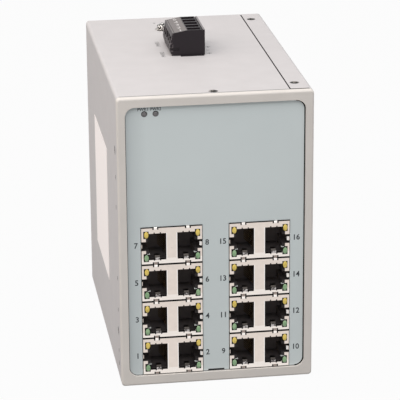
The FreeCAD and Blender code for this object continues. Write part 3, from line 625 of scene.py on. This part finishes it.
def cross_slot(x, y, length, width, edge):
    """1 inside a cross of two bars of half length and half width, 0 outside, soft over the edge."""
    along_x = ramp(length - abs(x), 0, edge) * ramp(width - abs(y), 0, edge)
    along_y = ramp(length - abs(y), 0, edge) * ramp(width - abs(x), 0, edge)
    return np.maximum(along_x, along_y)


def straight_slot(x, y, length, width, edge):
    """1 inside one bar along x, 0 outside, soft over the edge."""
    return ramp(length - abs(x), 0, edge) * ramp(width - abs(y), 0, edge)


def turned_screw(profile, recess, depth, turn):
    """A screw about +Z: a profile of (radius, height) points turned about the axis, from the head's middle
    over its rim and down the shank. Each ring's height is lowered by the recess's depth times its mask."""
    steps = 72
    angles = np.linspace(0, 2 * math.pi, steps, endpoint=False) + turn
    radius, height = np.array(profile).T
    x = radius[:, None] * np.cos(angles)
    y = radius[:, None] * np.sin(angles)
    lower = recess(x, y) * depth * (height[:, None] > profile[0][1] - depth)
    return np.stack([x, y, height[:, None] - lower], -1)


def head_face(radius, height, rings=20):
    """Points of a flat face from a tiny middle ring out to a radius."""
    return [(r, height) for r in np.linspace(CLOSING * radius, radius, rings)]


def placed(rings, axis, point):
    """Rings turned from +Z to an axis and moved to a point."""
    return rings @ facing(axis).T + np.array(point)


# ---- Screws ----
def countersunk_head():
    """Flat head with a cross recess, over a cone as deep as the sheet."""
    top = -SCREW_SINK
    rim_height = 0.10 * MM
    profile = head_face(SCREW_HEAD - SCREW_BEVEL, top) + [
        (SCREW_HEAD, top - rim_height), (SCREW_CORE, -SHEET), (CLOSING * SCREW_CORE, -SHEET),
    ]
    half_length, half_width, soft, depth = 1.35 * MM, 0.36 * MM, 0.14 * MM, 0.75 * MM
    recess = lambda x, y: cross_slot(x, y, half_length, half_width, soft)
    return turned_screw(profile, recess, depth, math.radians(20))


def cover_screw_heads():
    """The two screws along the cover's strip on top."""
    low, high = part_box("cover_screws")
    x = (low.x + high.x) / 2
    head = countersunk_head()
    places = [(x, low.y + SCREW_HEAD, high.z), (x, high.y - SCREW_HEAD, high.z)]
    shapes = [capped(placed(head, UP, place)) for place in places]
    piece = settle("cover_screw_heads", *gather(shapes), finishes["screw_black"], "screw_black")
    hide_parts("cover_screws")


def bezel_screw_heads():
    """The screws of the bezel's tabs: one on top and two on the left side."""
    low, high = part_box("bezel_screws")
    head = countersunk_head()
    top = (high.x - SCREW_HEAD, low.y + SCREW_HEAD, high.z)
    shapes = [capped(placed(head, UP, top))]
    for z in (low.z + SCREW_HEAD, high.z - SIDE_SCREW_FROM_TOP):
        side = (low.x, high.y - SCREW_HEAD, z)
        shapes.append(capped(placed(head, -RIGHTWARD, side)))
    piece = settle("bezel_screw_heads", *gather(shapes), finishes["screw_black"], "screw_black")
    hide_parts("bezel_screws")


def ground_screw_head():
    """Pan head with a rounded shoulder and a cross recess, on its shank."""
    low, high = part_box("ground_screw")
    x, y = (low.x + high.x) / 2, (low.y + high.y) / 2
    radius = (high.x - low.x) / 2
    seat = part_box("ground_washer")[1].z
    face, shoulder = radius - GROUND_SHOULDER, high.z - GROUND_SHOULDER
    turns = np.linspace(0, math.pi / 2, 8)
    edge = [(face + GROUND_SHOULDER * math.sin(t), shoulder + GROUND_SHOULDER * math.cos(t)) for t in turns]
    profile = head_face(face, high.z)[:-1] + edge
    profile += [(radius, seat), (GROUND_CORE, seat), (GROUND_CORE, low.z), (CLOSING * GROUND_CORE, low.z)]
    half_length, half_width, soft, depth = 1.55 * MM, 0.42 * MM, 0.15 * MM, 1.0 * MM
    recess = lambda u, v: cross_slot(u, v, half_length, half_width, soft)
    rings = turned_screw(profile, recess, depth, math.radians(35)) + np.array([x, y, 0])
    piece = settle("ground_screw_head", *capped(rings), finishes["ground_nickel"], "ground_nickel")
    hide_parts("ground_screw")


def poles(low, high):
    """The terminal's poles between two corners: each one's number, from 0, and its place in y."""
    for n in range(POLE_COUNT):
        yield n, (low.y + high.y) / 2 + (n - (POLE_COUNT - 1) / 2) * POLE_PITCH


def clamp_screws():
    """Slotted screws that look out of the plug's left side, one for each pole, each at a turn of its own."""
    low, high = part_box("terminal_plug")
    case_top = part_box("chassis_shell")[1].z
    bevel, shank, closed = 0.2 * MM, 2.4 * MM, 0.02 * MM
    profile = head_face(CLAMP_SCREW_RADIUS - bevel, 0.0, 14) + [
        (CLAMP_SCREW_RADIUS, -bevel), (CLAMP_SCREW_RADIUS, -shank), (closed, -shank),
    ]
    half_length, half_width, soft, depth = 1.45 * MM, 0.28 * MM, 0.1 * MM, 0.6 * MM
    slot = lambda x, y: straight_slot(x, y, half_length, half_width, soft)
    shapes = []
    for n, y in poles(low, high):
        head = turned_screw(profile, slot, depth, math.radians(25 + 40 * n))
        place = (low.x + CLAMP_SCREW_DEPTH, y, case_top + CLAMP_SCREW_HEIGHT)
        shapes.append(capped(placed(head, -RIGHTWARD, place)))
    settle("clamp_screws", *gather(shapes), finishes["zinc_steel"], "zinc_steel")


# ---- Window and seams ----
def window_places():
    """The bezel window's corners: (x, z, way into the window in x, way in z)."""
    low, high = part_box("front_bezel")
    for x, way_x in ((low.x + WINDOW_SIDE, 1), (high.x - WINDOW_SIDE, -1)):
        for z, way_z in ((low.z + WINDOW_BOTTOM, 1), (high.z - WINDOW_TOP, -1)):
            yield x, z, way_x, way_z


def corner_prism(place, outline, front, back):
    """Prism along Y at a window corner, from an outline of distances inward in x and z."""
    x, z, way_x, way_z = place
    rings = np.empty((2, len(outline), 3))
    rings[:, :, 0] = x + way_x * outline[:, 0]
    rings[:, :, 1] = np.array([front, back])[:, None]
    rings[:, :, 2] = z + way_z * outline[:, 1]
    return capped(rings if way_x * way_z > 0 else rings[:, ::-1])


def window_corners():
    """Fillets that round the window's corners. Each is the square at the corner without a quarter disc: its
    curve is (R - R sin t, R - R cos t) for t from 0 to a quarter turn. A band of painted shade lies on the
    panel along each curve, in the gap beside the overlay, narrower at the left, where the bezel's edge hides
    more of it."""
    turns = np.linspace(0, math.pi / 2, 16)
    arc = np.stack([1 - np.sin(turns), 1 - np.cos(turns)], 1)
    lap, step, root, under = 0.3 * MM, 0.02 * MM, 0.05 * MM, 0.1 * MM
    square = [(-lap, -lap), (WINDOW_ROUND, -lap)]
    fillet = np.concatenate([square, WINDOW_ROUND * arc, [(-lap, WINDOW_ROUND)]])
    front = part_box("front_bezel")[0].y
    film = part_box("front_overlay")[0].y
    fillets, bands = [], []
    for place in window_places():
        fillets.append(corner_prism(place, fillet, front + step, film + root))
        # painted shade in the gap beside the overlay, along the corner's curve
        width = WINDOW_SHADE if place[2] < 0 else 0.4 * WINDOW_SHADE
        inner = WINDOW_ROUND + (WINDOW_ROUND - width) * (arc - 1)
        outer = WINDOW_ROUND + (WINDOW_ROUND + under) * (arc - 1)
        bands.append(corner_prism(place, np.concatenate([outer[::-1], inner]), film - step, film + root))
    settle("window_corners", *gather(fillets), finishes["bezel_paint"], "bezel_paint", smooth=False)
    settle("corner_shade", *gather(bands), shade_black, "panel_paint", smooth=False)


def seam_shade():
    """Painted shade along the top's open seams: black beside the right-hand strip and behind the bezel next
    to it, grey behind the rest of the bezel.
    """
    low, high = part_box("front_bezel")
    back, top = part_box("chassis_shell")[1].yz
    start = low.y + BEZEL_DEPTH
    seam = high.x - COVER_STRIP
    level, deep = top + 0.01 * MM, top - 0.4 * MM
    lap, left_lap, corner, fold = 0.1 * MM, 0.15 * MM, 1.5 * MM, 1.3 * MM
    dark_width, grey_width = 0.9 * MM, 0.7 * MM
    dark = [
        ((seam - SEAM - left_lap, start, deep), (seam + lap, back - fold, level)),
        ((seam, start - lap, deep), (high.x - corner, start + dark_width, level)),
    ]
    grey = [((low.x + corner, start - lap, deep), (seam, start + grey_width, level))]
    # painted shade in the open seams
    settle("seam_shade", *rounded_bars(dark, GAP_SHADE_EDGE), shade_black, "panel_paint", smooth=False)
    settle("grey_seam_shade", *rounded_bars(grey, GAP_SHADE_EDGE), faint_ink_and_shade, "panel_paint", smooth=False)


# ---- Lenses and lamps ----
def light_pipe_rod(x, z, front, back, half_width, half_height, bulge):
    """Rod along Y with a rounded face and an oval section. The section's scale follows a quarter ellipse
    from the face's middle to the rod's side, then stays as it is."""
    angles = np.linspace(0, 2 * math.pi, 40, endpoint=False)
    first_turn = 0.03
    turns = np.linspace(first_turn, math.pi / 2, 10)
    scale = np.concatenate([np.sin(turns), [1.0]])
    depth = np.concatenate([front + bulge * (1 - np.cos(turns)), [back]])
    rings = np.empty((len(scale), len(angles), 3))
    rings[:, :, 0] = x + half_width * scale[:, None] * np.cos(angles)
    rings[:, :, 1] = depth[:, None]
    rings[:, :, 2] = z + half_height * scale[:, None] * np.sin(angles)
    return capped(rings)


def blocks():
    """The corners of each port block's shield, from the lower left block up each column."""
    return [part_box(f"jack_shield_{n}") for n in range(1, BLOCK_COUNT + 1)]


def block_heights(low, high):
    """Bottom and top of a port block's sheet box, without its fingers."""
    return low.z + FINGER_RISE, high.z - FINGER_RISE


def port_lenses(name, side, slot, node):
    """Two oval lenses on each port block, above its middle (side 1) or below it (side -1)."""
    half_height = (LENS_HIGH - LENS_LOW) / 2 - LENS_MARGIN
    shapes = []
    for low, high in blocks():
        z = (low.z + high.z) / 2 + side * (LENS_LOW + LENS_HIGH) / 2 + min(side, 0) * LENS_SAG
        front, back = low.y - LENS_PROUD, low.y + LENS_LENGTH
        for x in (low.x + LENS_FROM_SIDE + LENS_SHIFT, high.x - LENS_FROM_SIDE + LENS_SHIFT):
            shapes.append(light_pipe_rod(x, z, front, back, LENS_HALF_WIDTH, half_height, LENS_PROUD))
    piece = settle(name, *gather(shapes), finishes[slot], slot)
    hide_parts(node)


def rounded_bars(boxes, edge):
    """Bars with bevelled edges, from (low, high) corners. Each is four rings of eight points along Y."""
    shapes = []
    for low, high in boxes:
        low, high = np.array(low), np.array(high)
        rings = []
        for y, inset in ((low[1], edge), (low[1] + edge, 0), (high[1] - edge, 0), (high[1], edge)):
            x0, x1, z0, z1 = low[0] + inset, high[0] - inset, low[2] + inset, high[2] - inset
            rings.append([
                (x0 + edge, y, z0), (x1 - edge, y, z0), (x1, y, z0 + edge), (x1, y, z1 - edge),
                (x1 - edge, y, z1), (x0 + edge, y, z1), (x0, y, z1 - edge), (x0, y, z0 + edge),
            ])
        shapes.append(capped(np.array(rings)))
    return gather(shapes)


def lens_shoulders():
    """Clear shoulder of each green light pipe, which shows past its window on the socket's side."""
    near, far = 2.35 * MM, 3.75 * MM
    proud, depth, drop, rise = 0.06 * MM, 0.9 * MM, 0.33 * MM, 0.05 * MM
    boxes = []
    for low, high in blocks():
        z = (low.z + high.z) / 2 - LENS_LOW
        for x0, x1 in ((low.x + near, low.x + far), (high.x - far, high.x - near)):
            boxes.append(((x0, low.y - proud, z - drop), (x1, low.y + depth, z + rise)))
    settle("lens_shoulders", *rounded_bars(boxes, 0.08 * MM), clear_pipe, "green_lens")


def lens_window_shade():
    """Painted shade in the gaps round the lenses: a black outline of the windows that they look out of."""
    left, right, margin = 1.12 * MM, 1.22 * MM, 0.06 * MM
    proud, depth = 0.02 * MM, 0.3 * MM
    boxes = []
    for low, high in blocks():
        middle = (low.z + high.z) / 2
        for x in (low.x + LENS_FROM_SIDE, high.x - LENS_FROM_SIDE):
            for near, far in ((LENS_LOW, LENS_HIGH), (-LENS_HIGH - LENS_SAG, -LENS_LOW)):
                lower = (x - left, low.y - proud, middle + near - margin)
                boxes.append((lower, (x + right, low.y + depth, middle + far + margin)))
    # painted shade round the lens windows
    settle("lens_window_shade", *rounded_bars(boxes, STRIP_EDGE), shade_black, "jack_plastic", smooth=False)


def leaf_slot_shade():
    """Painted shade in the slots beside the spring leaf in the upper edge of each socket's opening."""
    drop, rise = 0.1 * MM, 0.5 * MM
    half = LEAF_SLOT / 2
    boxes = []
    for low, high in blocks():
        face, back = low.y - STRIP_PROUD, low.y + STRIP_DEPTH
        z = (low.z + high.z) / 2 + PORT_HALF
        for side in (low.x + LEAF_FROM_SIDE, high.x - LEAF_FROM_SIDE):
            for x in (side - LEAF_WIDTH / 2 - half, side + LEAF_WIDTH / 2 + half):
                boxes.append(((x - half, face, z - drop), (x + half, back, z + rise)))
    # painted shade in the leaf slots
    settle("leaf_slot_shade", *rounded_bars(boxes, STRIP_EDGE), shade_black, "jack_plastic", smooth=False)


def sill_shade():
    """Painted shade along the lower edge of each socket's opening: a dark lip, with a notch on each side of
    the leaf. The leaf's root, with painted glints and dark reflections, folds over the lip."""
    near, far = LEAF_FROM_SIDE - LEAF_WIDTH / 2, LEAF_FROM_SIDE + LEAF_WIDTH / 2
    notch = SILL_DROP + 0.4 * MM
    lap, root_lap, root_proud, root_depth = 0.04 * MM, 0.05 * MM, 0.03 * MM, 0.1 * MM
    spans = (
        (SILL_START, PORT_FAR, SILL_DROP),
        (near - LEAF_SLOT, near, notch), (far, far + LEAF_SLOT, notch),
    )
    lips, roots = [], []
    for low, high in blocks():
        face, back = low.y - STRIP_PROUD, low.y + STRIP_DEPTH
        sill = (low.z + high.z) / 2 - PORT_HALF
        for side, way in ((low.x, 1), (high.x, -1)):
            for start, end, drop in spans:
                x0, x1 = sorted((side + way * start, side + way * end))
                lips.append(((x0, face, sill - drop), (x1, back, sill + lap)))
            x0, x1 = sorted((side + way * near, side + way * far))
            lower = (x0, low.y - root_proud, sill - SILL_DROP - root_lap)
            roots.append((lower, (x1, low.y + root_depth, sill + LEAF_RISE)))
    # painted shade below each opening's lower edge
    settle("sill_shade", *rounded_bars(lips, STRIP_EDGE), shade_black, "jack_plastic", smooth=False)
    # the leaves' roots carry painted glints and dark reflections
    settle("leaf_roots", *rounded_bars(roots, 0.02 * MM), glinting_leaf, "shield_nickel", smooth=False)


def dark_gaps():
    """Painted shade that fills the slots beside the fingers and the gaps between the blocks."""
    slot_depth, gap_shade_depth, lower_lap = 0.24 * MM, 0.9 * MM, 0.02 * MM
    inner, outer = FINGER_HALF, FINGER_HALF + FINGER_SLOT
    boxes = []
    for n, (low, high) in enumerate(blocks(), 1):
        body_low, body_high = block_heights(low, high)
        gap, lap = (BLOCK_GAP, GAP_LAP) if n % ROW_COUNT else (TOP_GAP, 0.0)
        face, back = low.y - STRIP_PROUD, low.y + slot_depth
        edges = []
        for middle in (low.x + FINGER_FROM_SIDE, high.x - FINGER_FROM_SIDE):
            edges += [middle - inner, middle + inner]
            for x0, x1 in ((middle - outer, middle - inner), (middle + inner, middle + outer)):
                boxes.append(((x0, face, body_high - FINGER_DROP), (x1, back, body_high + gap)))
                boxes.append(((x0, face, body_low - lower_lap), (x1, back, body_low + FINGER_DROP)))
        edges = [low.x] + edges + [high.x]
        for x0, x1 in zip(edges[::2], edges[1::2]):
            boxes.append(((x0, face, body_high - GAP_LAP), (x1, low.y + gap_shade_depth, body_high + gap + lap)))
    # painted shade in the finger slots and between the blocks
    settle("dark_gaps", *rounded_bars(boxes, GAP_SHADE_EDGE), shade_black, "panel_paint", smooth=False)


def finger_leaves(side):
    """Curved outer ends of the spring fingers, on the blocks' tops (side 1) or bottoms (side -1): the top
    ones painted as lit, the bottom ones as shaded. The outline's points are a depth behind the face and a
    rise above the block, in millimetres."""
    half = FINGER_HALF - 0.04 * MM
    end = FINGER_DEPTH / MM
    over = [(-0.02, -0.9), (-0.02, -0.12), (0.10, 0.08), (0.42, 0.20), (1.1, 0.23), (1.7, 0.20), (end, 0.02)]
    under = [(end, -0.16), (1.7, 0.0), (1.1, 0.03), (0.45, -0.02), (0.22, -0.2), (0.2, -0.9)]
    depth, rise = np.array(over + under).T * MM
    shapes = []
    for low, high in blocks():
        edge = block_heights(low, high)[(side + 1) // 2]
        for middle in (low.x + FINGER_FROM_SIDE, high.x - FINGER_FROM_SIDE):
            rings = np.empty((2, len(depth), 3))
            rings[:, :, 0] = np.array([middle + side * half, middle - side * half])[:, None]
            rings[:, :, 1] = low.y + depth
            rings[:, :, 2] = edge + side * rise
            shapes.append(capped(rings))
    # painted light on the upper fingers, painted shade on the lower ones
    name, finish = ("upper_finger_leaves", lit_leaf) if side > 0 else ("lower_finger_leaves", shaded_leaf)
    settle(name, *gather(shapes), finish, "shield_nickel", smooth=False)


def side_finger_tips():
    """Curled tips of the side fingers, painted white as highlights where they show in the right-hand ports'
    latch notches. The outline in X and Y leans inward as it goes back, and runs straight up over the
    finger's height."""
    outline = np.array([(-0.04, 0.02), (-0.85, 0.5), (-0.85, 0.7), (-0.04, 0.3)]) * MM
    shapes = []
    for low, high in blocks():
        z = (low.z + high.z) / 2
        rings = np.empty((2, len(outline), 3))
        rings[:, :, 0] = high.x - SHIELD_WALL + outline[:, 0]
        rings[:, :, 1] = low.y + outline[:, 1]
        rings[:, :, 2] = np.array([z + SIDE_FINGER, z - SIDE_FINGER])[:, None]
        shapes.append(capped(rings))
    settle("side_finger_tips", *gather(shapes), highlit_tin, "shield_nickel", smooth=False)


def lamp_domes():
    """Domed faces of the two power lamps, a little smaller and lower than their holes."""
    low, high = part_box("power_lamps")
    radius = (high.z - low.z) / 2
    z = (low.z + high.z) / 2 - LAMP_SAG
    wide = LAMP_SHARE * radius
    places = (low.x + radius, high.x - radius)
    shapes = [light_pipe_rod(x, z, low.y, high.y, wide, wide, LAMP_BULGE) for x in places]
    piece = settle("power_lamp_domes", *gather(shapes), finishes["lamp_lens"], "lamp_lens")
    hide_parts("power_lamps")


# ---- Print ----
def outline_of(text, height, narrow, bold):
    """(vertices, faces) of a word in the XY plane about its own middle, its digits of a given height."""
    curve = bpy.data.curves.new("word", "FONT")
    curve.body = text
    curve.resolution_u = 4
    curve.offset = bold
    curve.extrude = 0.02
    carrier = bpy.data.objects.new("word", curve)
    bpy.context.collection.objects.link(carrier)
    graph = bpy.context.evaluated_depsgraph_get()
    mesh = bpy.data.meshes.new_from_object(carrier.evaluated_get(graph))
    points = np.empty(len(mesh.vertices) * 3)
    mesh.vertices.foreach_get("co", points)
    points = points.reshape(-1, 3)
    faces = [list(polygon.vertices) for polygon in mesh.polygons]
    bpy.data.objects.remove(carrier)
    bpy.data.curves.remove(curve)
    bpy.data.meshes.remove(mesh)
    low, high = points.min(0), points.max(0)
    scale = height / (high[1] - low[1])
    points = points - (low + high) / 2
    return points * np.array([scale * narrow, scale, INK_THICKNESS / (high[2] - low[2])]), faces


def lettered(text, height, middle, across, upward, narrow=0.95, bold=0.02):
    """A word laid on a surface: its reading direction along `across`, its tops towards `upward`."""
    points, faces = outline_of(text, height, narrow, bold)
    out = np.cross(across, upward)
    return points @ np.array([across, upward, out]) + np.array(middle), faces


def port_numbers():
    """The ports' numbers on the overlay, beside each block."""
    case_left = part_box("chassis_shell")[0].x
    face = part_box("front_overlay")[0].y
    columns = ((7.6 * MM, 39.4 * MM), (46.6 * MM, 79.9 * MM))  # from the case's left side
    lift = 0.4 * MM  # above a block's middle
    shapes = []
    for n, (low, high) in enumerate(blocks(), 1):
        column = columns[(n - 1) // ROW_COUNT]
        for side in (0, 1):
            middle = (case_left + column[side], face, (low.z + high.z) / 2 + lift)
            shapes.append(lettered(str(2 * n - 1 + side), PORT_DIGIT, middle, RIGHTWARD, UP))
    settle("port_numbers", *gather(shapes), dark_ink, "overlay_film", smooth=False)


def lamp_marks():
    """The two lamps' marks, above them."""
    low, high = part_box("power_lamps")
    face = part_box("front_overlay")[0].y
    radius = (high.z - low.z) / 2
    lift, first_shift, second_shift = 0.9 * MM, 0.7 * MM, 0.1 * MM
    z = high.z + lift
    places = (("PWR1", low.x + radius - first_shift), ("PWR2", high.x - radius + second_shift))
    shapes = [lettered(text, LAMP_MARK, (x, face, z), RIGHTWARD, UP) for text, x in places]
    settle("lamp_marks", *gather(shapes), dark_ink, "overlay_film", smooth=False)


def pole_marks():
    """White digits on the terminal's sloping marking strip, one for each pole."""
    low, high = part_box("terminal_marker")
    thickness, up_slope = 0.3 * MM, 0.55 * MM
    slope = np.array([high.x - low.x, 0, high.z - low.z - thickness])
    slope /= np.linalg.norm(slope)
    middle = np.array([(low.x + high.x) / 2, 0, (low.z + high.z + thickness) / 2]) + up_slope * slope
    shapes = []
    for n, y in poles(low, high):
        shapes.append(lettered(str(n + 1), POLE_DIGIT, middle + y * BACKWARD, slope, BACKWARD, bold=0.0))
    settle("pole_marks", *gather(shapes), white_ink, "marker_grey", smooth=False)


def top_marks():
    """Faint marks printed on the case beside the terminal, and two dots behind the earth screw."""
    plug_low, plug_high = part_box("terminal_plug")
    washer_low, washer_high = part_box("ground_washer")
    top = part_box("chassis_shell")[1].z
    left, right = plug_low.x - 2.9 * MM, plug_high.x + 3.3 * MM
    middle = (plug_low.y + plug_high.y) / 2
    word_height, word_stretch = 2.0 * MM, 1.25
    plus_height, minus_height = 2.4 * MM, 0.7 * MM
    dot_height, dots_behind = 1.3 * MM, 9.5 * MM
    shapes = []
    for text, y in (("PWR1", middle + 9.9 * MM), ("PWR2", middle - 9.2 * MM)):
        shapes.append(lettered(text, word_height, (left, y, top), BACKWARD, -RIGHTWARD, word_stretch))
    signs = (
        ("+", plus_height, right, middle + 0.9 * MM),
        ("-", minus_height, right - 0.8 * MM, middle - 4.8 * MM),
        ("+", plus_height, right - 0.9 * MM, middle - 10.6 * MM),
    )
    for text, height, x, y in signs:
        shapes.append(lettered(text, height, (x, y, top), RIGHTWARD, BACKWARD, 1.0))
    for x in (washer_low.x + 0.8 * MM, washer_high.x - 2.0 * MM):
        shapes.append(lettered(".", dot_height, (x, washer_high.y + dots_behind, top), RIGHTWARD, BACKWARD))
    settle("top_marks", *gather(shapes), faint_ink_and_shade, "case_paint", smooth=False)


def side_dimples():
    """Tiny dark ovals in a line down the case's left side, near its front: painted shade of its dimples.
    Each is four ovals: a scale and a lift above the side, from its middle out over its edge."""
    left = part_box("chassis_shell")[0].x
    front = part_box("front_bezel")[0].y
    heights = np.array([96.5, 82.5, 48.8, 33.7, 13.9, 7.7]) * MM
    from_front = 9.6 * MM
    angles = np.linspace(0, 2 * math.pi, 20, endpoint=False)
    scale = np.array([0.05, 0.6, 1.0, 1.0])
    lift = np.array([0.01, 0.015, 0.02, -0.10]) * MM
    shapes = []
    for z in heights:
        rings = np.empty((len(scale), len(angles), 3))
        rings[:, :, 0] = scale[:, None] * DIMPLE_HEIGHT * np.cos(angles)
        rings[:, :, 1] = scale[:, None] * DIMPLE_LENGTH * np.sin(angles)
        rings[:, :, 2] = lift[:, None]
        shapes.append(capped(placed(rings, -RIGHTWARD, (left, front + from_front, z))))
    # painted shade of the dimples
    settle("side_dimples", *gather(shapes), shade_black, "case_paint")


# ---- Room ----
def seen_directly(f):
    """1 for rays that look at the background itself or see it in metal or glass, 0 for its light."""
    rays = f.node("ShaderNodeLightPath")
    outputs = rays.socket.node.outputs
    names = ("Is Camera Ray", "Is Glossy Ray", "Is Transmission Ray")
    camera, glossy, clear = (Value(f, outputs[name]) for name in names)
    return (camera + glossy + clear).between(0.0, 1.0)


def room(light):
    """World that looks white and lights the object with a plain even glow."""
    world = bpy.data.worlds.new("room")
    bpy.context.scene.world = world
    f = Finish(world)
    strength = light + (1.0 - light) * seen_directly(f)
    glow = f.node("ShaderNodeBackground", None, {"Color": (1.0, 1.0, 1.0, 1.0), "Strength": strength})
    f.node("ShaderNodeOutputWorld", None, {"Surface": glow})


def pale_floor():
    """Wide floor at the object's foot. It looks nearly white and keeps a soft shadow."""
    half = 3.0
    mesh = bpy.data.meshes.new("floor")
    corners = [(-half, -half, 0), (half, -half, 0), (half, half, 0), (-half, half, 0)]
    mesh.from_pydata(corners, [], [(0, 1, 2, 3)])
    made = material("floor_white")
    f = Finish(made)
    cloth = f.node("ShaderNodeBsdfDiffuse", None, {"Color": rgb(CLOTH, CLOTH, CLOTH)})
    white = f.node("ShaderNodeEmission", None, {"Color": rgb(1.0, 1.0, 1.0), "Strength": 1.0})
    shown = f.node("ShaderNodeMixShader", None, {0: WHITE_SHARE * seen_directly(f), 1: cloth, 2: white})
    f.node("ShaderNodeOutputMaterial", None, {"Surface": shown})
    mesh.materials.append(made)
    floor = bpy.data.objects.new("floor", mesh)
    bpy.context.collection.objects.link(floor)


def soft_box(name, place, size, power, colour=(1.0, 1.0, 1.0)):
    """Square area lamp aimed at the object's middle."""
    lamp = bpy.data.lights.new(name, "AREA")
    lamp.size = size
    lamp.energy = power
    lamp.color = colour
    holder = bpy.data.objects.new(name, lamp)
    toward = MIDDLE - Vector(place)
    turn = toward.to_track_quat("-Z", "Y").to_matrix().to_4x4()
    holder.matrix_world = Matrix.Translation(place) @ turn
    bpy.context.collection.objects.link(holder)


def camera():
    """Long lens, aimed down at the front from a little to its left."""
    level = math.cos(ELEVATION)
    forward = Vector((math.sin(AZIMUTH) * level, math.cos(AZIMUTH) * level, -math.sin(ELEVATION)))
    turn = forward.to_track_quat("-Z", "Y").to_matrix() @ Matrix.Rotation(ROLL, 3, "Z")
    data = bpy.data.cameras.new("camera")
    data.lens = LENS
    data.sensor_width = SENSOR
    data.clip_start = 0.01
    holder = bpy.data.objects.new("camera", data)
    holder.matrix_world = Matrix.Translation(AIM - DISTANCE * forward) @ turn.to_4x4()
    bpy.context.collection.objects.link(holder)
    bpy.context.scene.camera = holder


# ---- Putting it together ----
dress_cad_nodes()
cover_screw_heads()
bezel_screw_heads()
ground_screw_head()
clamp_screws()
port_lenses("amber_port_lenses", 1, "amber_lens", "amber_lenses")
port_lenses("green_port_lenses", -1, "green_lens", "green_lenses")
lens_shoulders()
window_corners()
seam_shade()
lens_window_shade()
leaf_slot_shade()
sill_shade()
dark_gaps()
side_finger_tips()
finger_leaves(1)
finger_leaves(-1)
lamp_domes()
port_numbers()
lamp_marks()
pole_marks()
top_marks()
side_dimples()

pale_floor()
room(0.58)
soft_box("overhead", (0.1, -0.57, 1.18), 1.0, 9.4)
soft_box("left_key", (-0.45, -0.1, 0.5), 0.8, 2.7, (1.0, 0.93, 0.87))
camera()
bpy.context.scene.view_settings.view_transform = "Standard"
